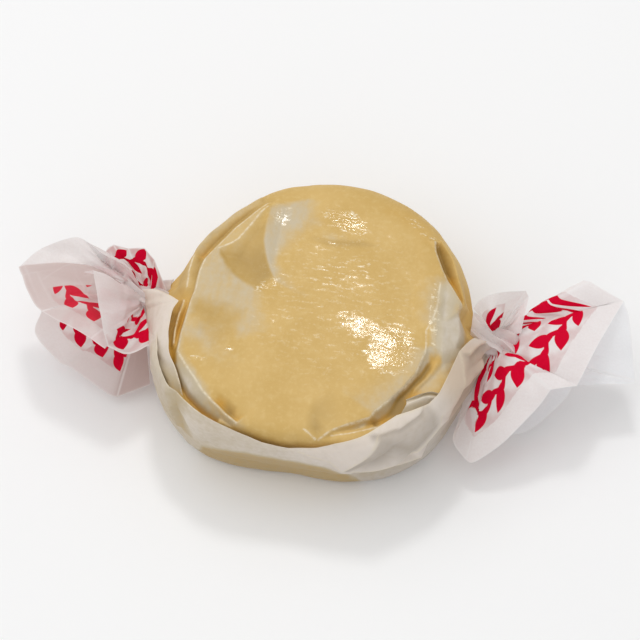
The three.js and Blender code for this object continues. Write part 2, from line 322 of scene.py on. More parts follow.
# Angles that the grids' lines pass through, and how many lines lie between them: most where the folds are.
COLUMN_DEG = [9, 30, 45, 64, 90, 116, 135, 150, 171]
COLUMN_STEPS = [10, 20, 62, 58, 58, 62, 20, 10]
TOP_DEG = [INNER_EDGE_DEG, 20, 30, 45, 64, 90, 116, 135, 150, SPLIT_DEG]
TOP_STEPS = [8, 10, 26, 66, 56, 56, 62, 24, 12]
BAND_DEG = [SPLIT_DEG, 335, OUTER_EDGE_DEG]
BAND_STEPS = [60, 130]


def spread(share, angles, steps):
    """The angle of each grid line, with the given number of lines between the given angles."""
    return np.interp(share * sum(steps), np.concatenate([[0], np.cumsum(steps)]), angles)


def disc_place(direction, radius, half_height):
    """Where directions from the middle meet a rounded disc, and which way the disc faces there."""
    forward = ease(-direction[:, 1], *FACING_RANGE)
    backward = ease(direction[:, 1], *FACING_RANGE)
    square = SIDE_SQUARENESS + (FRONT_SQUARENESS - SIDE_SQUARENESS) * forward
    square = square + (BACK_SQUARENESS - SIDE_SQUARENESS) * backward
    flat = np.maximum(np.hypot(direction[:, 0], direction[:, 1]), 1e-9)
    across = flat / radius
    up = np.abs(direction[:, 2]) / half_height
    reach = (across**square + up**square) ** (-1 / square)
    outward = across ** (square - 1) / radius / flat
    upward = np.sign(direction[:, 2]) * up ** (square - 1) / half_height
    facing = np.stack([direction[:, 0] * outward, direction[:, 1] * outward, upward], axis=1)
    facing /= np.linalg.norm(facing, axis=1, keepdims=True)
    return direction * reach[:, None], facing


print(f"The roll has {sum(COLUMN_STEPS)} columns")
print(f"It has {sum(TOP_STEPS)} rows over the top and {sum(BAND_STEPS)} in the band")

# %% [markdown]
# ## Creases of the top
# Where the round top turns down to the side there is too much paper, and it lies in pleats with flat faces
# between creases. So the top is a net of flat triangles over the disc. Each crease is a line of places in
# plan, x and y in millimetres, with how far the paper lies below the middle of the top (None where it just
# follows the disc), and how it looks there. It clings, or is creamy, milky, grey, pale or white where it is
# lifted off. Dim and shade are painted shade in a dip. Honey, glow and amber paint a deeper amber into
# pockets, gaps and rolls, standing in for the shade there and for light that comes through the sweet. A deep
# look has both painted shade and painted amber. A lee is a line close beside a crest, so that the look
# changes sharply there.

# %% Lines of the creases
CREASES = {
    "left edge": [
        (-11.5, 3.9, 0.3, "milky"), (-11.8, 2.2, 0.1, "milky"), (-11.9, 0.3, 0.15, "milky"),
        (-12.2, -1.0, 0.2, "milky"), (-12.4, -3.2, 0.25, "milky"), (-12.5, -4.2, 0.3, "milky"),
        (-12.6, -6.5, 0.45, "milky"),
    ],
    "left gap": [
        (-12.0, 3.6, 0.9, "shade"), (-12.1, 2.5, 0.9, "shade"), (-12.2, 0.7, 0.9, "dim"),
        (-12.4, -0.7, 1.1, "glow"), (-12.7, -2.4, 1.6, "amber"), (-12.85, -3.6, 1.7, "amber"),
        (-12.9, -5.9, 1.3, "glow"), (-12.85, -6.7, 1.2, "amber"),
    ],
    "left side fold": [
        (-12.7, 4.3, 0.8, "creamy"), (-12.9, 2.7, 0.9, "creamy"), (-12.85, 0.9, 1.0, "creamy"),
    ],
    "left side face": [(-13.6, 3.2, 2.0, "dim"), (-13.8, 1.3, 2.2, "dim")],
    "pocket fold": [
        (-12.9, -0.6, 0.9, "honey"), (-13.15, -2.2, 1.0, "honey"), (-13.25, -3.8, 1.0, "honey"),
        (-13.15, -5.4, 1.0, "honey"),
    ],
    "left floor": [
        (-13.2, -0.2, 1.5, "glow"), (-13.5, -2.0, 1.9, "glow"),
        (-13.6, -4.0, 2.0, "glow"), (-13.4, -5.7, 1.7, "amber"), (-13.1, -6.9, 1.7, "amber"),
    ],
    "low left plate": [
        (-11.7, -6.4, 0.25, "cling"), (-10.9, -7.5, 0.2, "cling"), (-9.9, -8.7, 0.2, "cling"),
        (-9.0, -9.8, 0.22, "cling"), (-8.0, -10.5, 0.28, "cling"), (-7.1, -10.9, 0.3, "cling"),
        (-6.0, -11.7, 0.35, "cling"), (-5.2, -12.5, 0.5, "cling"),
    ],
    "low left edge": [
        (-12.6, -6.5, 0.45, "milky"), (-11.6, -7.9, 0.4, "milky"), (-10.5, -9.2, 0.4, "grey"),
        (-9.6, -10.4, 0.45, "grey"), (-8.7, -11.2, 0.45, "milky"), (-7.1, -12.5, 0.55, "milky"),
        (-5.9, -13.3, 0.75, "milky"),
    ],
    "low left dip": [
        (-8.4, -11.0, 0.65, "cling"), (-7.7, -11.5, 0.95, "amber"), (-6.7, -12.3, 1.1, "deep"),
        (-5.9, -12.9, 1.0, "glow"),
    ],
    "low left strip": [
        (-12.4, -7.8, 1.0, "grey"), (-11.5, -9.3, 1.1, "white"), (-10.8, -10.4, 1.2, "white"),
        (-9.4, -11.6, 1.3, "grey"), (-7.7, -12.6, 1.4, "milky"), (-6.5, -13.3, 1.45, "milky"),
    ],
    "low left shade": [
        (-12.9, -7.6, 1.9, "glow"), (-11.9, -9.5, 2.1, "glow"), (-11.1, -10.6, 2.2, "glow"),
        (-9.6, -11.9, 2.3, "glow"), (-7.9, -12.9, 2.3, "glow"),
    ],
    "back left strip": [
        (-12.6, 5.2, 0.75, "milky"), (-11.3, 7.3, 0.6, "milky"), (-9.7, 9.2, 0.6, "milky"),
        (-7.4, 11.5, 0.8, "creamy"),
    ],
    "back left depth": [
        (-11.8, 4.5, 1.4, "glow"), (-10.9, 6.0, 1.2, "shade"), (-9.35, 8.2, 1.0, "shade"),
        (-8.0, 9.8, 0.9, "shade"), (-6.9, 11.05, 0.8, "dim"),
    ],
    "back left lip": [
        (-12.15, 4.75, 1.0, "creamy"), (-11.2, 6.4, 0.8, "creamy"), (-9.6, 8.55, 0.7, "creamy"),
        (-8.2, 10.15, 0.7, "creamy"),
    ],
    "back left edge": [
        (-11.5, 4.0, 0.45, "milky"), (-10.6, 5.4, 0.35, "creamy"), (-9.1, 7.7, 0.3, "creamy"),
        (-7.7, 9.4, 0.25, "creamy"), (-6.5, 10.9, 0.4, "cling"),
    ],
    "second ridge": [
        (-10.4, 5.2, 0.2, "milky"), (-9.3, 5.8, 0.05, "creamy"), (-8.7, 6.3, 0.0, "creamy"),
        (-7.8, 7.9, -0.05, "creamy"), (-6.9, 9.7, 0.0, "creamy"), (-6.4, 10.5, 0.2, "cling"),
    ],
    "second valley": [
        (-9.7, 4.6, 0.45, "dim"), (-8.2, 4.5, 0.6, "shade"), (-7.1, 4.0, 0.55, "shade"),
        (-5.6, 2.5, 0.3, "shade"), (-4.8, 2.0, 0.1, "cling"),
    ],
    "second face": [(-7.6, 6.0, 0.3, "dim"), (-6.9, 7.4, 0.2, "dim"), (-6.6, 8.9, 0.15, "cling")],
    "second rest": [
        (-10.3, 4.4, 0.1, "milky"), (-9.6, 3.2, 0.02, "milky"), (-8.8, 2.3, 0.0, "milky"),
        (-7.6, 1.5, 0.0, "milky"), (-6.4, 0.9, 0.05, "milky"), (-5.2, 0.9, 0.1, "cling"),
    ],
    "second rest lee": [
        (-10.0, 4.55, 0.25, "dim"), (-9.25, 3.55, 0.22, "dim"), (-8.45, 2.75, 0.22, "dim"),
        (-7.3, 2.0, 0.2, "dim"), (-6.2, 1.4, 0.15, "dim"),
    ],
    "left facet": [
        (-11.4, -0.1, 0.12, "milky"), (-9.9, -0.6, 0.0, "milky"), (-8.0, -0.9, 0.0, "milky"),
        (-6.4, -1.2, 0.05, "milky"),
    ],
    "left facet face": [
        (-11.3, -1.6, 0.35, "dim"), (-9.8, -2.3, 0.4, "dim"), (-8.2, -2.8, 0.3, "dim"),
        (-6.9, -3.6, 0.1, "milky"),
    ],
    "left facet foot": [
        (-11.9, -3.0, 0.25, "creamy"), (-10.6, -4.6, 0.1, "milky"), (-9.4, -6.0, 0.1, "creamy"),
    ],
    "open pleat": [
        (-6.0, 10.2, 0.2, "milky"), (-6.2, 8.2, 0.0, "milky"), (-6.1, 6.4, 0.0, "grey"),
        (-5.7, 4.9, 0.0, "grey"), (-5.0, 3.2, 0.0, "grey"), (-4.6, 2.4, 0.1, "milky"),
    ],
    "open pleat lee": [
        (-6.3, 9.6, 0.1, "cling"), (-6.45, 8.2, 0.08, "dim"), (-6.35, 6.4, 0.1, "dim"),
        (-5.95, 4.9, 0.12, "shade"), (-5.25, 3.2, 0.12, "shade"), (-4.8, 2.55, 0.12, "dim"),
    ],
    "open pleat floor": [
        (-4.5, 10.6, 0.35, "grey"), (-4.8, 8.5, 0.35, "grey"), (-4.9, 6.5, 0.28, "grey"),
        (-4.9, 4.5, 0.2, "milky"),
    ],
    "open pleat side": [
        (-2.7, 11.8, 0.45, "milky"), (-2.6, 9.3, 0.22, "milky"), (-3.6, 6.8, 0.12, "creamy"),
        (-4.3, 4.3, 0.1, "cling"),
    ],
    "back rim": [
        (-6.3, 10.8, 0.4, "cling"), (-5.5, 11.3, 0.45, "cling"), (-4.6, 11.5, 0.45, "cling"),
        (-2.7, 12.3, 0.6, "cling"),
    ],
    "back right edge": [
        (10.1, 9.0, 0.5, "cling"), (10.3, 7.8, 0.35, "cling"), (11.3, 5.6, 0.3, "cling"),
        (11.8, 4.7, 0.35, "milky"), (13.5, 2.5, 0.6, "milky"), (14.2, 1.8, 0.9, "milky"),
    ],
    "back right depth": [
        (10.4, 9.2, 1.1, "cling"), (10.5, 8.4, 1.6, "deep"), (11.5, 6.2, 1.9, "deep"),
        (12.1, 5.2, 1.8, "amber"), (13.55, 3.0, 1.8, "glow"), (14.15, 2.15, 1.7, "cling"),
    ],
    "back right strip": [
        (10.7, 9.3, 0.9, "cling"), (12.0, 7.6, 0.95, "cling"), (12.8, 5.5, 1.0, "cling"),
        (13.7, 3.5, 1.2, "cling"), (14.2, 2.5, 1.4, "cling"),
    ],
    "right ridge": [
        (11.2, 4.2, 0.15, "milky"), (11.2, 2.9, 0.12, "milky"), (11.2, 1.3, 0.12, "milky"),
        (10.9, -0.2, 0.12, "milky"), (10.5, -1.2, 0.12, "cling"), (10.7, -2.7, 0.15, "cling"),
        (10.7, -3.6, 0.15, "milky"), (10.1, -6.0, 0.15, "milky"), (9.3, -7.4, 0.2, "milky"),
        (8.0, -9.1, 0.2, "milky"), (6.8, -10.5, 0.25, "milky"), (6.4, -11.2, 0.3, "cling"),
        (4.4, -12.2, 0.35, "cling"), (2.9, -13.0, 0.5, "cling"),
    ],
    "right facet line": [(11.9, 3.1, 0.3, "pale"), (12.0, -0.1, 0.35, "pale"), (12.3, -3.0, 0.45, "pale")],
    "right facet foot": [
        (14.2, 1.2, 1.1, "pale"), (13.7, -0.7, 1.1, "pale"), (13.4, -2.2, 1.1, "pale"),
        (12.6, -4.1, 1.05, "grey"), (11.8, -5.6, 1.1, "milky"), (10.8, -6.9, 1.2, "milky"),
    ],
    "right pleat face": [
        (10.9, -3.2, 0.3, "grey"), (11.0, -4.4, 0.7, "grey"), (10.4, -5.8, 0.8, "grey"),
        (9.6, -7.0, 0.85, "grey"), (8.5, -8.7, 0.9, "grey"), (8.0, -9.9, 1.0, "milky"),
        (7.1, -10.8, 1.0, "milky"),
    ],
    "right grey facet": [(11.4, -2.7, 0.35, "milky"), (12.0, -3.3, 0.6, "milky")],
    "right depth": [
        (11.5, -4.1, 0.9, "glow"), (11.2, -4.8, 1.1, "deep"), (10.65, -5.9, 1.2, "deep"),
        (9.9, -6.95, 1.2, "deep"), (9.2, -7.95, 1.2, "deep"), (8.75, -8.8, 1.2, "deep"),
        (8.4, -10.0, 1.3, "deep"), (7.6, -10.8, 1.4, "amber"),
    ],
    "right depth wall": [
        (11.08, -4.6, 0.95, "deep"), (10.5, -5.85, 1.05, "deep"), (9.73, -6.98, 1.05, "deep"),
        (8.9, -8.25, 1.05, "deep"), (8.62, -8.76, 1.1, "deep"), (8.2, -9.95, 1.2, "deep"),
    ],
    "yellow roll": [
        (12.1, -3.9, 0.8, "honey"), (11.6, -5.1, 0.85, "honey"), (11.1, -6.1, 0.9, "creamy"),
        (10.3, -7.2, 0.95, "creamy"),
    ],
    "right floor": [(9.9, -8.1, 1.15, "amber"), (9.3, -9.1, 1.2, "deep"), (8.9, -10.1, 1.3, "deep")],
    "lens scoop": [
        (6.0, -11.6, 0.95, "milky"), (5.4, -12.0, 1.1, "milky"), (4.3, -12.5, 1.0, "cling"),
        (3.3, -13.0, 0.8, "cling"),
    ],
    "lens notch": [(6.6, -11.4, 1.2, "glow"), (6.9, -11.4, 1.5, "deep")],
    "lens lip": [
        (3.1, -13.35, 0.85, "cling"), (4.8, -12.8, 0.9, "cling"), (6.0, -12.3, 0.95, "cling"),
        (7.2, -11.7, 1.1, "milky"),
    ],
    "far glow": [(5.6, 11.6, None, "honey"), (7.9, 10.6, None, "honey"), (9.4, 8.9, None, "honey")],
    "far swell": [(-1.9, 7.7, 0.0, "cling"), (0.2, 7.55, -0.05, "creamy"), (3.4, 7.9, 0.0, "cling")],
    "far dent": [(-2.2, 7.2, 0.04, "cling"), (0.1, 7.05, 0.13, "dim"), (3.5, 7.4, 0.06, "dim")],
    "far rest": [(-2.4, 6.6, 0.0, "cling"), (0.1, 6.4, 0.0, "cling"), (3.5, 6.8, 0.0, "cling")],
    "front tuck": [(1.0, -9.8, 0.05, "cling"), (1.3, -11.6, 0.25, "dim"), (1.6, -13.0, 0.45, "shade")],
    "front tuck left": [(0.5, -13.2, None, "cling"), (1.65, -13.95, None, "cling")],
    "front tuck right": [(2.9, -13.1, None, "cling"), (1.95, -13.95, None, "cling")],
}
# How far each look is veiled, how much painted amber it has, and how much painted shade.
LOOKS = {
    "cling": (0, 0, 0), "creamy": (0.35, 0, 0), "milky": (0.6, 0, 0), "grey": (0.9, 0, 0),
    "white": (1.5, 0, 0), "pale": (1.45, 0, 0), "honey": (0, 0.2, 0), "glow": (0, 0.45, 0),
    "amber": (0, 1, 0), "dim": (0, 0, 0.6), "shade": (0, 0, 1), "deep": (0, 0.7, 1.6),
}


def nearest_on_line(points, line):
    """How far points lie from a line of straight runs."""
    nearest = np.full(len(points), np.inf)
    for start, stop in zip(line[:-1], line[1:]):
        run = stop - start
        share = np.clip((points - start) @ run / (run @ run), 0, 1)
        nearest = np.minimum(nearest, np.linalg.norm(points - start - share[:, None] * run, axis=1))
    return nearest


def lay_net(lines, line_values, calm, calm_values):
    """A net of flat triangles whose sides run along the given lines, and the values at its corners."""
    links = []
    for line in lines:
        first = links[-1][1] + 1 if links else 0
        links += [(first + step, first + step + 1) for step in range(len(line) - 1)]
    points = [Vector(point) for point in np.vstack([*lines, calm])]
    corners, _, triangles, sources, _, _ = delaunay_2d_cdt(points, links, [], 0, 1e-4)
    values = np.vstack([line_values, calm_values])
    crossings = sum(not source for source in sources)
    print(f"Net of {len(triangles)} triangles, {crossings} crossings")
    return np.array(corners), triangles, np.array([values[source[0] if source else -1] for source in sources])


def spread_over_net(points, corners, triangles, values):
    """Values at the corners of a net of triangles, shared out evenly over each triangle."""
    result = np.zeros((len(points), values.shape[1]))
    for triangle in triangles:
        first, second, third = corners[list(triangle)]
        low = np.minimum(np.minimum(first, second), third)
        high = np.maximum(np.maximum(first, second), third)
        near = np.flatnonzero(((points >= low) & (points <= high)).all(axis=1))
        sides = np.array([second - first, third - first]).T
        if len(near) == 0 or abs(np.linalg.det(sides)) < 1e-9:
            continue
        shares = np.linalg.solve(sides, (points[near] - first).T).T
        shares = np.column_stack([1 - shares.sum(axis=1), shares])
        inside = (shares > -1e-6).all(axis=1)
        result[near[inside]] = shares[inside] @ values[list(triangle)]
    return result


def soften_over_net(points, net, size):
    """The same, averaged over a small circle, so that the creases come out a little round."""
    turns = np.arange(6) * math.pi / 3
    shifts = [(0, 0), *((size * math.cos(turn), size * math.sin(turn)) for turn in turns)]
    return np.mean([spread_over_net(points + np.array(shift), *net) for shift in shifts], axis=0)


print(f"{len(CREASES)} creases on the top")

# %% [markdown]
# ## Loose paper round the side
# Round the side the paper isn't as tight as on the top. It stands off in a few broad pleats, at the back in
# narrow ones that leave the sweet and turn milky, and near each twist it is gathered into many small ones,
# which get deeper as the paper narrows. A simulation of cloth would have to be stopped at a lucky moment; a
# list of pleats is chosen.

# %% Pleats of the side and of the gathers
# Each pleat: its angle in plan and its half width, both in degrees, and how far it stands off.
SIDE_PLEATS = [
    (24, 15, 0.15), (46, 22, 0.2), (136, 34, 0.55), (155, 14, 0.35), (176, 12, 0.5), (207, 14, 0.5),
    (322, 10, 0.1), (344, 10, 0.4),
]
FOOT_TUCKS = [(266, 46, 0.6)]
BACK_PLEATS = [(61, 6, 0.35), (78, 4, 0.2), (98, 10, 0.5), (125, 6, 0.3)]
RIM_PLEATS = [(262, 42, 0.5), (298, 26, 0.6)]
# Where pleats come in and fade out, as the steepness of the line from the middle of the sweet. Level is 0,
# and upright is 1.
RIM_PLEATS_IN = (-0.1, 0.25)
FOOT_TUCKS_IN = (0.05, -0.3)
BACK_PLEATS_IN = (0.3, 0)
BACK_PLEATS_OUT = (-0.6, -0.2)
# Where all pleats start, as the level share of that line.
SIDEWAYS_RANGE = (0.75, 0.95)
# Where the loose edge starts, as a share of the last run of the grid.
LOOSE_RANGE = (0.1, 1)
GATHER_COUNT = 15
GATHER_DEPTH = 0.8
draw = np.random.default_rng(7)


def turn_between(first, second):
    return np.abs((first - second + 180) % 360 - 180)


def slack(pleats, plan_deg):
    """How far the paper stands off in pleats, each with its angle in plan, half width and depth."""
    total = np.zeros(len(plan_deg))
    for angle, width, bulge in pleats:
        total += bulge * np.clip(1 - turn_between(plan_deg, angle) / width, 0, 1)
    return total


def zigzag(count):
    """An uneven zigzag between -1 and 1, with so many points from 0 to 1, that meets itself there."""
    knots = (np.arange(2 * count + 1) + draw.uniform(-0.3, 0.3, 2 * count + 1)) / (2 * count)
    heights = np.where(np.arange(2 * count + 1) % 2, 1, -1) * draw.uniform(0.5, 1, 2 * count + 1)
    knots[[0, -1]] = 0, 1
    heights[-1] = heights[0]
    return lambda turns: np.interp(turns, knots, heights)


GATHERS = zigzag(GATHER_COUNT)


def ripple(points, length, waves=14):
    """A gentle unevenness: a scaled sum of waves in all directions, each about the given length."""
    total = np.zeros(len(points))
    for _ in range(waves):
        turn = draw.uniform(0, 2 * math.pi)
        pace = 2 * math.pi / (length * draw.uniform(0.7, 1.4))
        heading = pace * np.array([math.cos(turn), math.sin(turn)])
        total += np.sin(points @ heading + draw.uniform(0, 2 * math.pi))
    return total / math.sqrt(waves)


print(f"{len(SIDE_PLEATS)} pleats round the side and {len(BACK_PLEATS)} at the back")
print(f"{GATHER_COUNT} gathers at a twist")


# %% [markdown]
# One function rolls any part of the sheet round the sweet, because the top and the band are made in the
# same way. It also hands back the angles of each point, for the creases and the painting that follow.

# %% Roll a part of the sheet
def roll_sheet(name, row_deg, row_steps, edge=None, stand_off=None):
    """One part of the sheet, rolled on.

    The edge, if given, says how far round each column goes, and the stand-off how loosely it lies there.
    """
    sheet, across, along = flat_sheet(name, sum(COLUMN_STEPS), sum(row_steps))
    left_deg = spread(across, COLUMN_DEG, COLUMN_STEPS)
    round_deg = spread(along, row_deg, row_steps)
    loose = np.zeros(len(across))
    to_edge = np.full(len(across), np.inf)
    if edge:
        last_run = np.clip((round_deg - row_deg[-2]) / (row_deg[-1] - row_deg[-2]), 0, 1)
        round_deg = round_deg + last_run * (np.interp(left_deg, *np.transpose(edge)) - row_deg[-1])
        to_edge = np.interp(left_deg, *np.transpose(edge)) - round_deg
        loose = np.interp(left_deg, *np.transpose(stand_off)) * ease(last_run, *LOOSE_RANGE)
    from_left, round_x = np.radians(left_deg), np.radians(round_deg)
    direction = np.stack(
        [
            -PAPER_RADIUS * np.cos(from_left),
            -PAPER_RADIUS * np.sin(from_left) * np.cos(round_x),
            TAFFY_HALF_HEIGHT * np.sin(from_left) * np.sin(round_x),
        ],
        axis=1,
    )
    direction /= np.linalg.norm(direction, axis=1, keepdims=True)
    plan_deg = np.degrees(np.arctan2(direction[:, 1], direction[:, 0]))
    steep = direction[:, 2]
    sideways = ease(np.hypot(direction[:, 0], direction[:, 1]), *SIDEWAYS_RANGE)
    pleats = slack(SIDE_PLEATS, plan_deg) + slack(RIM_PLEATS, plan_deg) * ease(steep, *RIM_PLEATS_IN)
    pleats -= slack(FOOT_TUCKS, plan_deg) * ease(steep, *FOOT_TUCKS_IN)
    lifted = slack(BACK_PLEATS, plan_deg) * ease(steep, *BACK_PLEATS_IN) * ease(steep, *BACK_PLEATS_OUT)
    pleats += lifted
    lap = ease(round_deg, LAP_DEG - LAP_RAMP_DEG, LAP_DEG) * LAP_LIFT
    order = np.argsort(ring_angles)
    radius = np.interp(plan_deg, ring_angles[order], ring_radii[order], period=360)
    radius = radius + PAPER_OFFSET + pleats * sideways + lap + loose
    half_height = TAFFY_HALF_HEIGHT + PAPER_OFFSET + np.where(steep < 0, UNDER_FLATTENING, lap + loose)
    places, facing = disc_place(direction, radius, half_height)
    off_axis = np.degrees(np.arccos(np.abs(direction[:, 0])))
    taper = np.clip(1 - off_axis / TAPER_DEG, 0, 1) ** TAPER_POWER
    gathers = GATHER_DEPTH * GATHERS((round_deg % 360) / 360) * taper
    places += facing * gathers[:, None]
    places[:, 1:] *= 1 - PINCH * ease(taper, *PINCH_RANGE)[:, None]
    places[:, 0] += np.sign(direction[:, 0]) * taper * (TWIST_REACH - PAPER_RADIUS - PAPER_OFFSET)
    places[:, 1] += taper * TWIST_BACK
    at = {"round": round_deg, "plan": plan_deg, "taper": taper, "to_edge": to_edge, "lifted": lifted}
    return sheet, places, facing, at


top_sheet, places, facing, at = roll_sheet("top_paper", TOP_DEG, TOP_STEPS)
round_deg = at["round"]

# %% [markdown]
# The net is joined up from the creases and from calm points, where the paper just follows the disc: a ring
# round the rim, and a loose scatter over the middle.

# %% Crease the top
UPPER_DEG = (15, 175)
RIM_HEIGHT = 3.0
RIM_TOLERANCE = 0.12
RIM_STEP_DEG = 6
RIM_GAP = 0.3
FAR_OUT = 100
# The calm points in the middle: rings of a size and a count, and arcs between two angles with a count and
# their sizes.
CALM_RINGS = [(0.1, 1), (5, 8), (9, 20)]
CALM_ARCS = [(28, 96, 9, (10.5, 12, 13.3)), (238, 272, 4, (10.5, 12, 13.2))]
CALM_GAP = 0.9
CREASE_SOFTNESS = 0.08
# Each: the height of a gentle unevenness, and the length of its waves.
TOP_WAVES = [(0.03, 6.0), (0.012, 2.6)]

upper = (round_deg > UPPER_DEG[0]) & (round_deg < UPPER_DEG[1])
rim = places[upper & (np.abs(places[:, 2] - RIM_HEIGHT) < RIM_TOLERANCE)]
rim_deg = np.degrees(np.arctan2(rim[:, 1], rim[:, 0]))
rim_size = np.hypot(rim[:, 0], rim[:, 1])
order = np.argsort(rim_deg)


def inside_rim(points, gap):
    """Places in plan, drawn in where they are closer to the rim than the gap."""
    deg = np.degrees(np.arctan2(points[:, 1], points[:, 0]))
    size = np.hypot(points[:, 0], points[:, 1])
    most = np.interp(deg, rim_deg[order], rim_size[order], period=360) - gap
    return points * (np.minimum(size, most) / size)[:, None]


turns = np.radians(np.arange(-180, 180, RIM_STEP_DEG))
rim_ring = inside_rim(FAR_OUT * np.column_stack([np.cos(turns), np.sin(turns)]), 0)
calm = []
for size, count in CALM_RINGS:
    ring_turns = np.arange(count) * 2 * math.pi / count
    calm += [(size * math.cos(turn), size * math.sin(turn)) for turn in ring_turns]
for first_deg, last_deg, count, sizes in CALM_ARCS:
    for turn in np.radians(np.linspace(first_deg, last_deg, count)):
        calm += [(size * math.cos(turn), size * math.sin(turn)) for size in sizes]
calm = inside_rim(np.array(calm), 2 * RIM_GAP)
crease_lines = [inside_rim(np.array([place[:2] for place in line]), RIM_GAP) for line in CREASES.values()]
for line in crease_lines:
    calm = calm[nearest_on_line(calm, line) > CALM_GAP]
calm = np.vstack([calm, rim_ring])

top_points = np.flatnonzero(upper & (places[:, 2] > 0))
plan = places[top_points, :2]
crease_values = []
crease_places = [place for line in CREASES.values() for place in line]
for (x, y), (_, _, drop, look) in zip(np.vstack(crease_lines), crease_places):
    on_disc = places[top_points[np.argmin(np.hypot(plan[:, 0] - x, plan[:, 1] - y))], 2]
    rise = 0 if drop is None else TAFFY_HALF_HEIGHT + PAPER_OFFSET - drop - on_disc
    crease_values.append((rise, *LOOKS[look]))
net = lay_net(crease_lines, crease_values, calm, np.zeros((len(calm), 4)))
shape = np.zeros((len(places), 4))
shape[top_points] = soften_over_net(plan, net, CREASE_SOFTNESS)
# The crease heights, their veil, and their painted amber and painted shade.
crease_height, crease_veil, painted_crease_amber, crease_shade = shape.T
waviness = sum(height * ripple(places[:, :2], length) for height, length in TOP_WAVES)
places[:, 2] += crease_height
places += facing * (waviness * ease(SPLIT_DEG - round_deg, 0, SEAM_DEG))[:, None]
places[:, 2] = np.maximum(places[:, 2] + MIDDLE_HEIGHT, 0)
bend_sheet(top_sheet, places)
print(f"Top paper: {np.ptp(places[:, 0]):.1f} x {np.ptp(places[:, 1]):.1f} x {np.ptp(places[:, 2]):.1f} mm")

# %% [markdown]
# ## Where the paper clings and where it lifts
# Waxed paper that touches the sweet looks wet and lets its colour through, so the top is tan. Where the
# paper lifts away it turns grey and then white. In the pockets behind the folds a deeper amber is painted,
# standing in for the shade there and for light that comes through the sweet, and shade is painted into the
# dips. Along the sharpest crests a thin light line is painted as a highlight, and in a few patches the wax
# is smoother and gleams, with painted glints. Lower down the side the paper is painted darker and more
# amber, as painted shade. All of this is one finish, steered by layers of numbers on the sheet's points.

# %% Paint the cling of the top
# Crests along which a thin light line is painted as a highlight.
CRESTS = [
    "left edge", "left side fold", "pocket fold", "low left edge", "back left edge", "second ridge",
    "back right edge", "right ridge", "lens lip", "front tuck left", "front tuck right",
]
CREST_WIDTH = 0.12
# Painted shade lower on the side: darker and more amber there.
LOWER_SIDE_SHADE = 0.22
LOWER_SIDE_SHADE_HEIGHTS = (9.5, 6)
BACK_VEIL = 1.8
GLEAM_FADE = (1.6, 0.1)
# Each patch, where the wax is smoother and carries painted glints: its middle, its two half sizes
# and its turn in degrees, and how strongly it gleams.
GLEAMS = [
    (1.3, 9.8, 2.6, 1.3, -24, 0.9), (2.4, 3.6, 4.2, 2.2, 10, 0.42), (4.6, -1.9, 3.2, 1.5, -28, 0.8),
    (7.3, -3.8, 2.7, 3.0, 0, 0.95), (11.1, 0.6, 0.5, 3.6, 6, 0.8), (-4.9, 9.8, 1.0, 1.5, 0, 0.7),
    (-7.6, -5.9, 0.6, 0.4, 0, 0.7), (-10.6, -7.2, 0.9, 0.3, 0, 0.8), (-5.2, 1.6, 1.4, 0.6, 40, 0.7),
    (8.6, 10.2, 2.6, 0.6, -38, 0.5), (1.5, 0.5, 10, 11, 0, 0.25),
]

# Painted highlight: a thin light line along each crest.
crest = np.zeros(len(places))
for name in CRESTS:
    line = crease_lines[list(CREASES).index(name)]
    crest[top_points] = np.maximum(crest[top_points], 1 - nearest_on_line(plan, line) / CREST_WIDTH)
gleam = np.zeros(len(places))
for x, y, half_long, half_wide, turn_deg, strength in GLEAMS:
    turn = math.radians(turn_deg)
    along = ((places[:, 0] - x) * math.cos(turn) + (places[:, 1] - y) * math.sin(turn)) / half_long
    across = ((places[:, 1] - y) * math.cos(turn) - (places[:, 0] - x) * math.sin(turn)) / half_wide
    gleam = np.maximum(gleam, strength * ease(along**2 + across**2, *GLEAM_FADE))
gleam[places[:, 2] < MIDDLE_HEIGHT] = 0
# Painted shade: the side turns darker and more amber lower down.
lower_side_shade = LOWER_SIDE_SHADE * ease(places[:, 2], *LOWER_SIDE_SHADE_HEIGHTS)
paint_sheet(top_sheet, "veil", np.maximum(crease_veil, BACK_VEIL * at["lifted"]))
paint_sheet(top_sheet, "amber", np.maximum(painted_crease_amber, lower_side_shade))
paint_sheet(top_sheet, "shade", crease_shade)
paint_sheet(top_sheet, "crest", crest)
paint_sheet(top_sheet, "gleam", gleam)
print(f"Veiled over {np.mean(crease_veil > 0.2):.0%} of the top")
print(f"Amber over {np.mean(painted_crease_amber > 0.5):.1%} of the top")

# %% [markdown]
# ## The band along the front
# The sheet goes on from the back, under the sweet and up the front, outside its own first edge. Its outer
# edge is a crisp line that climbs to the rim at both ends, and right of the middle it is turned over. Its
# few creases are a net as well, unrolled: how far round the front, how high, how far the paper stands out
# there, how white it is and how much it lies in shade.

# %% Lines of the band
# The outer edge: the angle from the left twist, and the angle round the long axis, in degrees.
OUTER_EDGE = [
    (9, 440), (21.7, 440), (29.8, 434), (44.1, 431), (48.6, 425.5), (50.2, 420), (52.8, 415), (57.7, 412.5),
    (63.9, 409), (71.3, 404.5), (79.8, 397.5), (87.6, 395.5), (95.7, 400), (99.9, 405), (105.7, 409),
    (109.6, 412.5), (114.2, 416.5), (119.1, 418.5), (122.6, 420), (125.2, 423), (127.5, 429), (130.1, 437),
    (136.9, 445.4), (171, 450),
]
# How loosely the outer edge lies, by the angle from the left twist.
BAND_STAND_OFF = [(9, 0.3), (60, 0.3), (80, 0.12), (105, 0.12), (125, 0.3), (171, 0.3)]
# Between the creases: how white and how shaded the band is, by how far round it lies.
BAND_WHITE = [(-20, 1.6), (-13, 1.4), (-8, 1.5), (0, 1.7), (8, 1.9), (20, 2)]
BAND_SHADE = [(-20, 0.1), (-10, 0.15), (0, 0.25), (6, 0.5), (12, 0.45), (16, 0.55), (19, 0.7), (25, 0.65)]
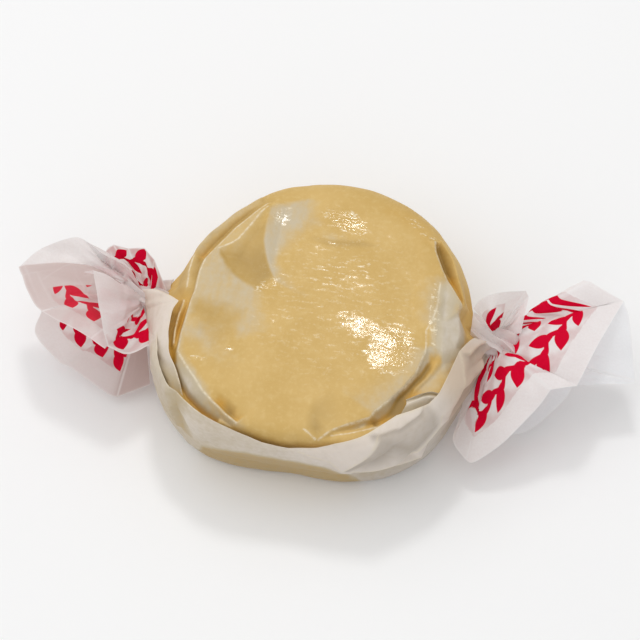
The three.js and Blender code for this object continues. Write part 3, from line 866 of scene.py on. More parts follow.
# Each place: how far round, how high, how far out, how veiled and how shaded.
BAND_CREASES = {
    "front fold": [(7.3, 11.0, 0.2, 2.1, 0), (5.0, 8.4, 0.8, 2.1, 0), (4.1, 5.8, 0.6, 2.1, 0)],
    "front fold lee": [
        (7.55, 10.9, 0.15, 1.9, 0.7), (5.25, 8.3, 0.65, 1.9, 0.95), (4.35, 5.8, 0.5, 1.9, 0.95),
    ],
    "front facet": [(0.2, 8.7, 0.05, 1.9, 0), (3.0, 7.3, 0.1, 2.0, 0), (4.1, 5.8, 0.6, 2.1, 0)],
    "front light": [(4.6, 10.2, 0.0, 2.1, 0), (2.6, 9.0, 0.0, 2.0, 0)],
    "front hollow": [(8.6, 9.4, -0.1, 1.9, 1.0), (7.0, 7.4, -0.15, 1.9, 1.0)],
    "low fold": [(4.9, 4.9, 0.3, 2.1, 0), (8.4, 6.3, 0.9, 2.1, 0), (11.0, 5.1, 0.9, 2.1, 0)],
    "low fold lee": [(5.2, 4.6, 0.2, 1.7, 0.5), (8.6, 6.0, 0.65, 1.8, 0.6), (11.0, 4.85, 0.65, 1.8, 0.5)],
    "low hollow": [(6.5, 3.2, -0.2, 1.5, 0.7), (10.0, 3.0, -0.2, 1.7, 0.6)],
    "right fold": [
        (13.4, 9.6, 0.4, 2.1, 0), (12.8, 8.8, 0.8, 2.1, 0), (10.5, 7.5, 1.0, 2.1, 0),
        (9.7, 6.6, 0.2, 1.9, 0.3),
    ],
    "right fold lee": [(10.25, 7.75, 0.6, 1.9, 1.0), (12.5, 9.1, 0.45, 1.9, 0.9)],
    "right hollow": [(15.2, 8.6, -0.2, 1.8, 0.5), (13.0, 6.2, -0.2, 1.8, 0.4)],
    "right crest": [(18.5, 10.5, 0.4, 2.1, 0.3), (16.2, 9.8, 0.6, 2.1, 0.1), (14.2, 7.6, 0.4, 2.0, 0)],
    "neck fold": [(18.9, 9.7, 0.4, 2.1, 0), (21.6, 7.8, 0.5, 2.1, 0)],
    "neck fold lee": [(18.8, 9.35, 0.05, 1.9, 0.9), (21.5, 7.45, 0.1, 1.9, 0.9)],
    "neck second fold": [(17.3, 7.7, 0.35, 2.1, 0), (19.4, 7.2, 0.5, 2.1, 0), (21.4, 6.4, 0.5, 2.1, 0)],
    "neck second lee": [
        (17.3, 7.35, 0.05, 1.9, 0.7), (19.4, 6.85, 0.05, 1.9, 0.9), (21.4, 6.05, 0.1, 1.9, 0.9),
    ],
    "neck third fold": [(17.8, 4.7, 0.35, 2.1, 0.1), (19.8, 5.0, 0.5, 2.1, 0.1), (21.6, 5.2, 0.5, 2.1, 0.1)],
    "neck third lee": [
        (17.8, 4.35, 0.05, 1.9, 0.7), (19.8, 4.65, 0.05, 1.9, 0.9), (21.6, 4.85, 0.1, 1.9, 0.9),
    ],
    "left roll": [
        (-13.5, 10.0, 0.1, 1.5, 0.3), (-12.5, 9.7, 0.4, 1.4, 0.4), (-11.8, 8.1, 0.7, 1.3, 0.4),
        (-11.5, 5.0, 0.4, 1.1, 0.4),
    ],
    "left roll foot": [
        (-11.5, 9.6, -0.1, 1.0, 0.5), (-11.1, 7.8, -0.15, 0.8, 0.5), (-11.0, 5.0, 0, 0.7, 0.5),
    ],
    "left rest": [(-10.3, 8.4, 0.1, 1.7, 0), (-9.9, 6.4, 0.1, 1.6, 0)],
    "tan edge": [
        (-9.7, 4.0, 0.05, 1.4, 0.2), (-4.9, 6.5, 0.2, 1.6, 0.1), (-0.6, 6.5, 0.2, 1.7, 0.1),
        (3.4, 5.6, 0.2, 1.8, 0.1),
    ],
}
# Where the outer edge is turned over: how far round, and how many degrees wide the pale strip is there.
TURNED_EDGE = [(6.4, 0), (7.4, 3.2), (9.4, 5.3), (11.6, 2.6), (12.4, 0)]
TURNED_RISE = 0.12
# Painted shade in the lee just below the turned strip, and where it fades out.
TURNED_LEE_SHADE = 0.9
TURNED_LEE_FADE = (6, 0.6)
TURN_START = 1.5
TURN_SOFTNESS = 0.5
print(f"{len(BAND_CREASES)} creases on the band")

# %% Roll the band
BAND_FRONT_DEG = 275
BAND_FRONT_ARC = 24
BAND_CALM_ARCS = np.arange(-25, 26, 2.5)
BAND_CALM_HEIGHTS = (-3.0, 0.6, 3.0, 7.0, 10.0, 13.0)
BAND_CALM_GAP = 1.4
BAND_CREASE_SOFTNESS = 0.06
BAND_WAVE_HEIGHT = 0.03
BAND_WAVE_LENGTH = 5.0

band, band_places, band_facing, at_band = roll_sheet(
    "band_paper", BAND_DEG, BAND_STEPS, OUTER_EDGE, BAND_STAND_OFF
)
band_round = at_band["round"]
arc = ((at_band["plan"] + 270) % 360 - 180) * math.radians(1) * PAPER_RADIUS
unrolled = np.column_stack([arc, band_places[:, 2] + MIDDLE_HEIGHT])
band_lines = [np.array([place[:2] for place in line]) for line in BAND_CREASES.values()]
band_values = [place[2:] for line in BAND_CREASES.values() for place in line]
calm = np.array([(x, z) for x in BAND_CALM_ARCS for z in BAND_CALM_HEIGHTS])
for line in band_lines:
    calm = calm[nearest_on_line(calm, line) > BAND_CALM_GAP]
calm_looks = [np.interp(calm[:, 0], *np.transpose(table)) for table in (BAND_WHITE, BAND_SHADE)]
calm_values = np.column_stack([np.zeros(len(calm)), *calm_looks])
band_net = lay_net(band_lines, band_values, calm, calm_values)
in_front = (band_round > BAND_FRONT_DEG) & (np.abs(arc) < BAND_FRONT_ARC)
band_shape = np.zeros((len(band_places), 3))
band_shape[in_front] = soften_over_net(unrolled[in_front], band_net, BAND_CREASE_SOFTNESS)
turned_width = np.interp(arc, *np.transpose(TURNED_EDGE))
turned = ease(turned_width, 0, TURN_START)
below_turn = at_band["to_edge"] - turned_width
# The turned strip loses its painted shade, and painted shade lies in its lee just below.
turn = turned * ease(below_turn, TURN_SOFTNESS, -TURN_SOFTNESS)
painted_lee_shade = turned * ease(below_turn, -TURN_SOFTNESS, TURN_SOFTNESS) * ease(below_turn, *TURNED_LEE_FADE)
band_out, band_white, band_shade = band_shape.T
band_out = band_out + TURNED_RISE * turn
band_shade = np.maximum(band_shade * (1 - turn), TURNED_LEE_SHADE * painted_lee_shade)
past_seam = ease(band_round, SPLIT_DEG, SPLIT_DEG + SEAM_DEG)
band_waviness = BAND_WAVE_HEIGHT * ripple(unrolled, BAND_WAVE_LENGTH) * past_seam
band_places += band_facing * (band_out + band_waviness)[:, None]
band_places[:, 2] = np.maximum(band_places[:, 2] + MIDDLE_HEIGHT, 0)
bend_sheet(band, band_places)
print(f"Band: up to {np.max(band_places[:, 2]):.1f} mm high")

# %% [markdown]
# The band is white where it is lifted, and tan again along its foot, where it clings and shade is
# painted. Near the twists all of it is white, and towards the right end it is a little amber. A painted
# highlight runs along its outer edge and its sharpest creases.

# %% Paint the band
BAND_CRESTS = [
    "front fold", "front facet", "low fold", "right fold", "right crest", "neck fold", "neck second fold",
    "neck third fold",
]
BAND_CREST = 0.7
BAND_CREST_WIDTH = 0.3
BAND_EDGE_DEG = 1.2
# The upper side of the tan foot: how far round, and how high.
TAN_LINE = [
    (-14, -2), (-10.4, -1), (-9.0, 4.0), (-4.9, 6.2), (-0.6, 6.2), (2.6, 5.4), (4.4, 3.6), (5.6, 1.7),
    (6.6, -0.5), (9, -2),
]
TAN_SOFTNESS = 0.8
FOOT_SHADE = 0.85
FOOT_VEIL = 0.65
FOOT_VEIL_DEG = (285, 300)
LIFT_DEG = (275, 295)
UNDER_SIDE_SHADE_DEG = (295, 275)
TWIST_VEIL = 1.8
TWIST_TAPER = (0.05, 0.3)
RIGHT_END_WARMTH = 0.3
RIGHT_END_IN = (13, 16)
RIGHT_END_OUT = (22, 19)

above_tan = unrolled[:, 1] - np.interp(arc, *np.transpose(TAN_LINE))
lifted = ease(above_tan, -TAN_SOFTNESS, TAN_SOFTNESS)
near_twist = ease(at_band["taper"], *TWIST_TAPER)
veils = [
    band_white * ease(band_round, *LIFT_DEG) * lifted,
    FOOT_VEIL * ease(band_round, *FOOT_VEIL_DEG),
    BACK_VEIL * at_band["lifted"],
    TWIST_VEIL * near_twist,
]
right_end_warmth = RIGHT_END_WARMTH * ease(arc, *RIGHT_END_IN) * ease(arc, *RIGHT_END_OUT)
# Painted shade: darker and more amber at the back and underneath.
under_side_shade = LOWER_SIDE_SHADE * ease(band_round, *UNDER_SIDE_SHADE_DEG)
# Painted highlight along the outer edge and along the listed crests.
band_crest = 1 - at_band["to_edge"] / BAND_EDGE_DEG
for name in BAND_CRESTS:
    line = band_lines[list(BAND_CREASES).index(name)]
    band_crest = np.maximum(band_crest, BAND_CREST - nearest_on_line(unrolled, line) / BAND_CREST_WIDTH)
paint_sheet(band, "veil", np.max(veils, axis=0))
paint_sheet(band, "amber", np.maximum(right_end_warmth, under_side_shade))
# Painted shade in the band's hollows, in the turned strip's lee and along the tan foot.
paint_sheet(band, "shade", np.maximum(band_shade, FOOT_SHADE * (1 - lifted) * (1 - near_twist)))
paint_sheet(band, "crest", np.maximum(band_crest, 0))
print(f"The tan foot is up to {max(height for _, height in TAN_LINE)} mm high")

# %% [markdown]
# ## The collar
# At the left end of the band another layer of the sheet stands up like a collar, and leaves a dark gap
# beside the top. It is a grid stretched between its free edge and its foot, which is tucked under the band.

# %% Make the collar
# Each column: the free edge, then the foot, x, y and z in millimetres, then how white it is there.
COLLAR = [
    (-16.8, 0.9, 8.8, -17.0, 0.9, 8.0, 2.0), (-15.8, 0.4, 9.8, -16.9, 0.4, 7.9, 2.0),
    (-14.5, -0.3, 10.4, -16.7, -0.3, 7.8, 2.0), (-13.3, -1.1, 10.8, -16.6, -0.8, 7.7, 2.0),
    (-13.7, -2.3, 10.9, -16.3, -2.1, 8.0, 2.0), (-13.8, -4.2, 10.8, -15.9, -3.1, 8.3, 2.0),
    (-13.6, -5.6, 10.7, -15.4, -4.5, 9.0, 1.9), (-13.3, -6.8, 10.6, -14.8, -6.1, 9.6, 1.8),
    (-12.6, -7.9, 10.3, -14.1, -7.8, 9.8, 1.6), (-11.9, -9.4, 9.9, -13.4, -9.2, 9.7, 1.0),
    (-11.4, -10.6, 9.3, -12.6, -10.3, 9.6, 0.4), (-10.4, -11.5, 9.0, -11.3, -11.3, 9.6, 0.1),
]
COLLAR_FOLDS = [0, 0, 0, 1, 0, 0, 0, 0, 0, 0, 0, 0]
COLLAR_GRID = (160, 40)
COLLAR_SIZE = (18, 4)
COLLAR_SHOWN = 0.75
COLLAR_OUTWARD = np.array([-0.75, -0.25, 0.6])
COLLAR_BULGE = 0.35
COLLAR_TUCK = np.array([-0.1, -0.1, -1.4])
COLLAR_WAVE_HEIGHT = 0.04
COLLAR_WAVE_LENGTH = 2.5
COLLAR_FADE = 0.3
COLLAR_SHADE = 0.5
COLLAR_SHADE_RANGE = (0.45, 0.8)
COLLAR_CREST = 0.06

collar, along, across = flat_sheet("collar_paper", *COLLAR_GRID)
collar_run = curve_through(COLLAR, COLLAR_FOLDS, along)
edge, foot, white = collar_run[:, :3], collar_run[:, 3:6], collar_run[:, 6]
shown = np.clip(across / COLLAR_SHOWN, 0, 1)[:, None]
tucked = np.clip((across - COLLAR_SHOWN) / (1 - COLLAR_SHOWN), 0, 1)[:, None]
collar_flat = np.column_stack([along, across]) * COLLAR_SIZE
collar_places = edge + (foot - edge) * shown + COLLAR_OUTWARD * COLLAR_BULGE * np.sin(math.pi * shown)
collar_places += tucked * COLLAR_TUCK
collar_places += COLLAR_OUTWARD * COLLAR_WAVE_HEIGHT * ripple(collar_flat, COLLAR_WAVE_LENGTH)[:, None]
bend_sheet(collar, collar_places)
paint_sheet(collar, "veil", white - COLLAR_FADE * shown[:, 0])
# Painted shade towards the collar's lower end, and a painted highlight along its free edge.
paint_sheet(collar, "shade", COLLAR_SHADE * ease(along, *COLLAR_SHADE_RANGE))
paint_sheet(collar, "crest", np.clip(1 - across / COLLAR_CREST, 0, 1))
print(f"Collar: up to {np.max(collar_places[:, 2]):.1f} mm high")

# %% [markdown]
# ## The rolled pleat
# At the right end of the band a corner of the sheet is rolled over outwards. It is a small grid drawn
# through rows of places: behind the roll, along its crest, along the slit below it, along a second crest,
# across its face, and under the band. All rows run from left to right, and their last places are tucked
# under the band.

# %% Make the rolled pleat
PLEAT_GRID = (50, 60)
ROLLED_PLEAT = [
    [(9.6, -8.4, 9.9), (10.6, -8.0, 10.0), (11.3, -7.7, 10.1), (12.0, -7.3, 10.0), (12.8, -7.1, 10.0)],
    [
        (9.55, -8.85, 10.95), (10.7, -8.25, 11.15), (11.3, -8.0, 11.2), (11.9, -7.75, 11.1),
        (12.95, -7.6, 10.5),
    ],
    [
        (9.6, -8.95, 10.75), (10.7, -8.35, 10.8), (11.2, -8.0, 10.85), (11.9, -7.85, 10.8),
        (12.95, -7.75, 10.35),
    ],
    [
        (9.65, -9.25, 10.8), (10.5, -8.75, 10.85), (11.45, -8.25, 10.9), (12.0, -8.2, 10.8),
        (13.0, -7.95, 10.35),
    ],
    [(9.05, -10.55, 10.2), (10.05, -9.85, 10.3), (10.95, -9.2, 10.3), (11.9, -8.6, 10.3), (12.9, -8.2, 10.0)],
    [(9.2, -10.6, 9.2), (10.2, -9.9, 9.2), (11.1, -9.4, 9.2), (11.9, -9.0, 9.2), (12.8, -8.5, 9.2)],
]
PLEAT_FOLDS = [0, 1, 1, 1, 1, 0]
PLEAT_VEIL = [0.5, 1.3, 1.0, 1.7, 1.5, 1.3]
PLEAT_CLING = 0.6
PLEAT_CLING_RANGE = (0.6, 0.7)
BEHIND_SHADE = 0.15
BEHIND_RANGE = (0.12, 0.02)
SLIT_SHADE = 0.95
SLIT_RANGE = (0.14, 0.04)
PLEAT_CREST_WIDTH = 0.05

pleat, along, across = flat_sheet("rolled_pleat", *PLEAT_GRID)
row_shares = np.linspace(0, 1, len(ROLLED_PLEAT))
_, crest_share, slit_share, second_crest_share, _, _ = row_shares
pleat_rows = [curve_through(row, [0] * len(row), along) for row in ROLLED_PLEAT]
pleat_columns = np.stack(pleat_rows, axis=1)
pleat_run = np.array([
    curve_through(column, PLEAT_FOLDS, np.array([share]))[0] for column, share in zip(pleat_columns, across)
])
bend_sheet(pleat, pleat_run)
pleat_veil = np.interp(across, row_shares, PLEAT_VEIL)
# Painted shade behind the roll and in the slit, and painted highlights along both crests.
behind = BEHIND_SHADE * ease(across, *BEHIND_RANGE)
slit = SLIT_SHADE * along * ease(np.abs(across - slit_share), *SLIT_RANGE)
crest_distance = np.minimum(np.abs(across - crest_share), np.abs(across - second_crest_share))
paint_sheet(pleat, "veil", pleat_veil - PLEAT_CLING * (1 - along) * ease(across, *PLEAT_CLING_RANGE))
paint_sheet(pleat, "shade", behind + slit)
paint_sheet(pleat, "crest", np.maximum(1 - crest_distance / PLEAT_CREST_WIDTH, 0))
print(f"Rolled pleat: {np.ptp(pleat_run[:, 0]):.1f} mm long")

# %% [markdown]
# ## Finish of the rolled paper
# One finish serves every sheet that lies on the sweet. It starts from the sweet's tan, goes over to grey
# and white with the veil, then to painted amber, then into painted shade, and then takes painted
# highlights along the crests. Fine noise breaks up each step, because the wax is uneven. In the gleaming
# patches the paper is smoother, with light flecks painted in as glints. White paper also lets some light
# pass through.


# %% Finish of the rolled paper
CLING_DARK = (0.615, 0.40, 0.120, 1)
CLING_LIGHT = (0.668, 0.447, 0.152, 1)
CLING_SPECKS = (0.79, 0.585, 0.26, 1)
LIFTED_GREY = (0.585, 0.495, 0.345, 1)
LIFTED_WHITE = (0.90, 0.825, 0.75, 1)
# Painted shade, for the tan and for the white paper.
SHADED_TAN = (0.345, 0.215, 0.06, 1)
SHADED_WHITE = (0.36, 0.315, 0.265, 1)
# Painted amber for pockets and gaps, standing in for the shade there and for light through the sweet.
PAINTED_AMBER = (0.58, 0.31, 0.035, 1)
# Painted highlights: light lines along crests, and glints in the gleaming patches.
PAINTED_CREST_HIGHLIGHT = (0.90, 0.81, 0.63, 1)
PAINTED_GLINT_COLOUR = (0.96, 0.86, 0.64, 1)


def clinging_finish():
    finish = Finish("clinging_waxed_paper")
    place = finish.place()
    veil = finish.layer("veil")
    gleam_layer = finish.layer("gleam")
    cloud = finish.noise(place, 260.0, 4.0)
    speckle = finish.noise(place, 2600.0, 2.0)
    sparkle = finish.noise(place, 4200.0, 1.0)
    mottle = finish.noise(place, 1500.0, 3.0)
    streak = finish.noise(finish.stretched(place, (900, 2600, 2600)), 1.0, 2.0)
    fibre = finish.noise(finish.stretched(place, (1900, 600, 1900)), 1.0, 3.0)
    grey = (veil + (mottle - 0.5) * 0.4 + (fibre - 0.5) * veil * 0.9).step(0.0, 1.05)
    white = (veil + (mottle - 0.5) * 0.4 + (fibre - 0.5) * 0.5).step(1.0, 2.15)
    tan = finish.blend(cloud.step(0.3, 0.7), CLING_DARK, CLING_LIGHT)
    tan = finish.blend(mottle.step(0.45, 0.75) * 0.2 + speckle.step(0.5, 0.75) * 0.2, tan, CLING_SPECKS)
    colour = finish.blend(grey, tan, LIFTED_GREY)
    colour = finish.blend(white, colour, LIFTED_WHITE)
    shaded = finish.blend(white, SHADED_TAN, SHADED_WHITE)
    # Painted amber, then painted shade.
    colour = finish.blend(finish.layer("amber"), colour, PAINTED_AMBER)
    colour = finish.blend(finish.layer("shade") * 0.58, colour, shaded)
    # A painted highlight along the crests, then painted glints in the gleaming patches.
    crest = finish.layer("crest") * (speckle.step(0.35, 0.6) * 0.5 + 0.3)
    colour = finish.blend(crest, colour, PAINTED_CREST_HIGHLIGHT)
    painted_glint = streak.step(0.5, 0.66) * sparkle.step(0.42, 0.6) * gleam_layer.step(0.1, 0.5)
    colour = finish.blend(painted_glint * 0.65, colour, PAINTED_GLINT_COLOUR)
    patchy = gleam_layer + (cloud - 0.5) * 0.9 + (streak - 0.5) * 1.3 + (speckle - 0.5) * 0.8
    gleam = patchy.step(0.35, 0.75) * gleam_layer.step(0.02, 0.2)
    crinkle = finish.noise(finish.stretched(place, (700, 1000, 1000)), 1.0, 3.0)
    sockets = {
        "Base Color": colour,
        "Roughness": 0.54 + speckle * 0.08 - gleam * 0.48,
        "Normal": finish.bump(crinkle * 0.5 + speckle * 0.3 + sparkle * gleam * 0.5, 0.00004),
        "Specular IOR Level": 0.4,
    }
    waxed = finish.add("ShaderNodeBsdfPrincipled", None, sockets)
    through = finish.add("ShaderNodeBsdfTranslucent", None, {"Color": colour})
    finish.show(finish.add("ShaderNodeMixShader", None, {0: white * 0.22, 1: waxed, 2: through}))
    return finish.material


clinging_paper = clinging_finish()
for sheet in (top_sheet, band, collar, pleat):
    finish_sheet(sheet, clinging_paper)

# %% [markdown]
# ## A leaf of a fan
# Past each twist the paper opens into leaves. A leaf is a grid whose columns are ribs: every rib starts at
# the neck of the twist and runs, with a little bow, to a place on the cut edge. Between ribs the edge is a
# smooth curve, except where a rib is a fold, and there the two sides meet in a crisp line. Small creases in
# all directions do the rest.

# %% Bend a leaf
TWISTS = {"left": np.array([-17.2, 1.3, 6.0]), "right": np.array([17.1, 1.5, 6.0])}
OUTWARD = {"left": -1, "right": 1}
NECK_SIZE = 1.1
NECK_PLEATS = 6
NECK_PAINTED_SHADE = 0.06
FOLD_WIDTH = 0.16
NECK_FLATTENING = np.array([0.3, 1, 1])
NECK_PLEAT_HEIGHT = 0.26
GATHER_POWER = 1.6
GATHER_SCALE = 3.2
LEAF_COLUMNS = 170
LEAF_ROWS = 110
LEAF_GRID = (LEAF_ROWS + 1, LEAF_COLUMNS + 1, 3)
LEAF_WAVE_HEIGHT = 0.04
LEAF_WAVE_LENGTH = 3.5
LEAF_START = (0, 0.15)
LEAF_FLOOR_GAP = 0.05
PRINT_NARROWING = 0.4
RIB_CREST_IN = (0.15, 0.4)
NECK_PAINTED_SHADE_RANGE = (0, 0.5)
CRUMPLES = 26
CRUMPLE_WIDTH = 1.7
CRUMPLE_WIDTHS = (0.5, 1.5)
CRUMPLE_REACHES = (2, 5)
CRUMPLE_HEIGHT = 0.15
CRUMPLE_BASE = 0.5
CRUMPLE_CREST = 0.2


def crumple(points, count, width):
    """Many short creases in all directions.

    Gives the height of the tents along them, and how near a crest each point is.
    """
    total = np.zeros(len(points))
    crest = np.zeros(len(points))
    low, high = points.min(axis=0), points.max(axis=0)
    for _ in range(count):
        turn = draw.uniform(0, math.pi)
        away = points - draw.uniform(low, high)
        beside = np.abs(away @ np.array([math.cos(turn), math.sin(turn)]))
        onward = away @ np.array([-math.sin(turn), math.cos(turn)]) / draw.uniform(*CRUMPLE_REACHES)
        reach = np.clip(1 - onward**2, 0, None)
        up = draw.choice([-1, 1])
        total += up * reach * np.clip(1 - beside / (width * draw.uniform(*CRUMPLE_WIDTHS)), 0, None)
        if up > 0:
            crest = np.maximum(crest, reach * (1 - beside / FOLD_WIDTH))
    return total, crest


def make_leaf(name, side, ribs, ink, fineness, window, painted_shade):
    """One leaf, bent along its ribs.

    A rib is the place of its end, out, back and up from the twist, then its bow, then 1 for a fold.
    The ink is 1 on the printed side, less on the other, and more where two prints lie over each other. The
    fineness makes the print smaller. The window says where the print shows: between two distances from the
    cut edge, and between two shares of the way across. The painted shade says how far the paper is darkened
    at even steps across it.
    """
    leaf, across, along = flat_sheet(name, LEAF_COLUMNS, LEAF_ROWS)
    ribs = np.asarray(ribs, dtype=float)
    folds = ribs[:, 4] > 0
    end = curve_through(ribs[:, :3] * [OUTWARD[side], 1, 1], folds, across)
    bow = curve_through(ribs[:, 3:4], folds, across)[:, 0]
    neck = end * NECK_FLATTENING
    neck *= NECK_SIZE / np.linalg.norm(neck, axis=1, keepdims=True)
    share = along[:, None]
    straight = neck + share * (end - neck)
    straight_grid = straight.reshape(LEAF_GRID)
    normal = np.cross(np.gradient(straight_grid, axis=1), np.gradient(straight_grid, axis=0)).reshape(-1, 3)
    normal /= np.maximum(np.linalg.norm(normal, axis=1, keepdims=True), 1e-9)
    normal *= np.where(normal[:, 2:] < 0, -1, 1)
    edge_run = np.linalg.norm(np.diff(end.reshape(LEAF_GRID)[-1], axis=0), axis=1)
    edge_so_far = np.concatenate([[0], np.cumsum(edge_run)])
    edge_shares = np.linspace(0, 1, LEAF_COLUMNS + 1)
    edge_place = np.interp(across, edge_shares, edge_so_far)
    from_edge = np.linalg.norm(end - neck, axis=1) * (1 - along)
    narrowing = PRINT_NARROWING + (1 - PRINT_NARROWING) * along
    flat_place = np.column_stack([(edge_place - edge_so_far[-1] / 2) * narrowing, from_edge])
    gathered = along * (1 - along) ** GATHER_POWER * GATHER_SCALE
    lift = bow * 4 * along * (1 - along) + NECK_PLEAT_HEIGHT * zigzag(NECK_PLEATS)(across) * gathered
    creases, crease_crest = crumple(flat_place, CRUMPLES, CRUMPLE_WIDTH)
    lift = lift + CRUMPLE_HEIGHT * creases * (CRUMPLE_BASE + gathered)
    lift = lift + LEAF_WAVE_HEIGHT * ripple(flat_place, LEAF_WAVE_LENGTH)
    places = TWISTS[side] + straight + normal * (lift * ease(along, *LEAF_START))[:, None]
    places[:, 2] = np.maximum(places[:, 2], LEAF_FLOOR_GAP)
    bend_sheet(leaf, places)
    # Painted highlights: thin light lines along the cut edge, the crumple crests and the folded ribs.
    crest = np.maximum(1 - from_edge / FOLD_WIDTH, CRUMPLE_CREST * crease_crest)
    for rib in np.flatnonzero(folds):
        rib_place = np.interp(rib / (len(ribs) - 1), edge_shares, edge_so_far)
        beside = np.abs(edge_place - rib_place) * along
        crest = np.maximum(crest, (1 - beside / FOLD_WIDTH) * ease(along, *RIB_CREST_IN))
    nearest_row, last_row, first_share, last_share = window
    in_rows = (from_edge > nearest_row) & (from_edge < last_row)
    shown = in_rows & (across >= first_share) & (across <= last_share)
    paint_sheet(leaf, "print_place", flat_place[:, 0] * fineness)
    paint_sheet(leaf, "print_row", (from_edge - nearest_row) * fineness)
    paint_sheet(leaf, "ink", ink * shown)
    paint_sheet(leaf, "crest", np.maximum(crest, 0))
    # Painted shade: darker where the table across the leaf says, and towards the neck.
    painted_dimness = np.interp(across, np.linspace(0, 1, len(painted_shade)), painted_shade)
    paint_sheet(leaf, "painted_shade", np.maximum(painted_dimness, NECK_PAINTED_SHADE * (1 - ease(along, *NECK_PAINTED_SHADE_RANGE))))
    print(f"{name}: {len(ribs)} ribs, {int(folds.sum())} of them folds")
    return leaf


# %% [markdown]
# ## Finish of the leaves
# A single layer of the paper lets much of the light through, so where two leaves lie over each other they
# look denser. The finish mixes a glossy paper with light that passes through and a little clear
# show-through. The paper is printed in red. The print here is a plain ornament, a winding vine with leaves
# on both sides of its stem, and a pale ghost of it shows through from the layer behind. The ink is a layer
# of its own, mixed in last. It is duller than the paper, so that reflections don't wash out the red.
# The leaves are darkened by painted shade in places, most near the neck, and carry painted highlights along
# their cut edges and crests.

# %% Finish of the printed leaves
VINE_STEP = 3.4
VINE_ROWS = 4.3
STEM_SWING = 0.4
STEM_WIDTH = 0.75
LEAF_LENGTH = 1.5
LEAF_WIDTH = 0.74
LEAF_TILT = math.radians(38)
LEAF_RISE = 0.85
VINE_WANDER = 1.2
PRINT_EDGE = 0.06
GHOST_EDGE = 0.6
GHOST_SHIFT = 2.3
FAR_ENOUGH = 1000
DEEP_RED = (0.585, 0.0, 0.02, 1)
RED = (0.675, 0.001, 0.032, 1)
GHOST_SHARE = 0.4
GHOST_PINK = (0.62, 0.30, 0.29, 1)
# The colour of the leaves' painted shade, and of their painted crest highlight.
PAINTED_SHADE_PAPER = (0.62, 0.485, 0.455, 1)
LEAF_CREST_HIGHLIGHT = (0.96, 0.94, 0.93, 1)


def vine(along_vine, rows, softness):
    """1 on the stem and the leaves of a winding vine, and 0 off it."""
    row = (rows + FAR_ENOUGH * VINE_ROWS).repeat(VINE_ROWS) - VINE_ROWS / 2
    turn = along_vine * (2 * math.pi / VINE_STEP)
    printed = abs(row - turn.sine() * STEM_SWING).step(STEM_WIDTH / 2 + softness, STEM_WIDTH / 2 - softness)
    for up, start in ((1, 0), (-1, VINE_STEP / 2)):
        beside = (along_vine + (FAR_ENOUGH * VINE_STEP + start)).repeat(VINE_STEP) - VINE_STEP / 2
        above = row * up - LEAF_RISE
        length = (beside * math.cos(LEAF_TILT) + above * math.sin(LEAF_TILT)) / LEAF_LENGTH
        width = (above * math.cos(LEAF_TILT) - beside * math.sin(LEAF_TILT)) / LEAF_WIDTH
        printed = printed.most((abs(width) + length * length).step(1 + softness, 1 - softness))
    return printed


def leaf_finish(name, dull, bright, show_through, passing):
    """Printed waxed paper between two colours, with shares of show-through and of light passing through."""
    finish = Finish(name)
    place = finish.place()
    cloud = finish.noise(place, 300.0, 4.0)
    wander = (finish.noise(place, 230.0, 1.0) - 0.5) * VINE_WANDER
    along_vine = finish.layer("print_place") + wander
    rows = finish.layer("print_row") + wander
    ink = finish.layer("ink")
    printed = vine(along_vine, rows, PRINT_EDGE) * ink
    ghost = vine(along_vine + GHOST_SHIFT, rows + GHOST_SHIFT, GHOST_EDGE) * ink * GHOST_SHARE
    fibre = finish.noise(finish.stretched(place, (900, 1400, 900)), 1.0, 3.0)
    grain = finish.noise(place, 5000.0, 1.0)
    paper = finish.blend(cloud.step(0.3, 0.75) * 0.6 + grain.step(0.2, 0.8) * 0.4, dull, bright)
    # Painted shade, then the print's ghost, then painted highlights along crests and cut edges.
    paper = finish.blend(finish.layer("painted_shade"), paper, PAINTED_SHADE_PAPER)
    paper = finish.blend(ghost, paper, GHOST_PINK)
    paper = finish.blend(finish.layer("crest") * 0.6, paper, LEAF_CREST_HIGHLIGHT)
    sockets = {
        "Base Color": paper,
        "Roughness": 0.36 + fibre * 0.2,
        "Normal": finish.bump(fibre + grain * 0.4, 0.00005),
        "Specular IOR Level": 0.25,
    }
    glossy = finish.add("ShaderNodeBsdfPrincipled", None, sockets)
    through = finish.add("ShaderNodeBsdfTranslucent", None, {"Color": paper})
    clear = finish.add("ShaderNodeBsdfTransparent")
    lit = finish.add("ShaderNodeMixShader", None, {0: passing, 1: glossy, 2: through})
    plain = finish.add("ShaderNodeMixShader", None, {0: show_through, 1: lit, 2: clear})
    red = finish.blend(grain, DEEP_RED, RED)
    ink_sockets = {"Base Color": red, "Roughness": 0.7, "Specular IOR Level": 0.05}
    inked = finish.add("ShaderNodeBsdfPrincipled", None, ink_sockets)
    finish.show(finish.add("ShaderNodeMixShader", None, {0: printed, 1: plain, 2: inked}))
    return finish.material


DOUBLED_DULL = (0.90, 0.84, 0.825, 1)
DOUBLED_BRIGHT = (0.97, 0.935, 0.925, 1)
SINGLE_DULL = (0.90, 0.905, 0.925, 1)
SINGLE_BRIGHT = (0.95, 0.96, 0.98, 1)
doubled_paper = leaf_finish("doubled_waxed_paper", DOUBLED_DULL, DOUBLED_BRIGHT, 0.09, 0.36)
single_paper = leaf_finish("single_waxed_paper", SINGLE_DULL, SINGLE_BRIGHT, 0.14, 0.4)
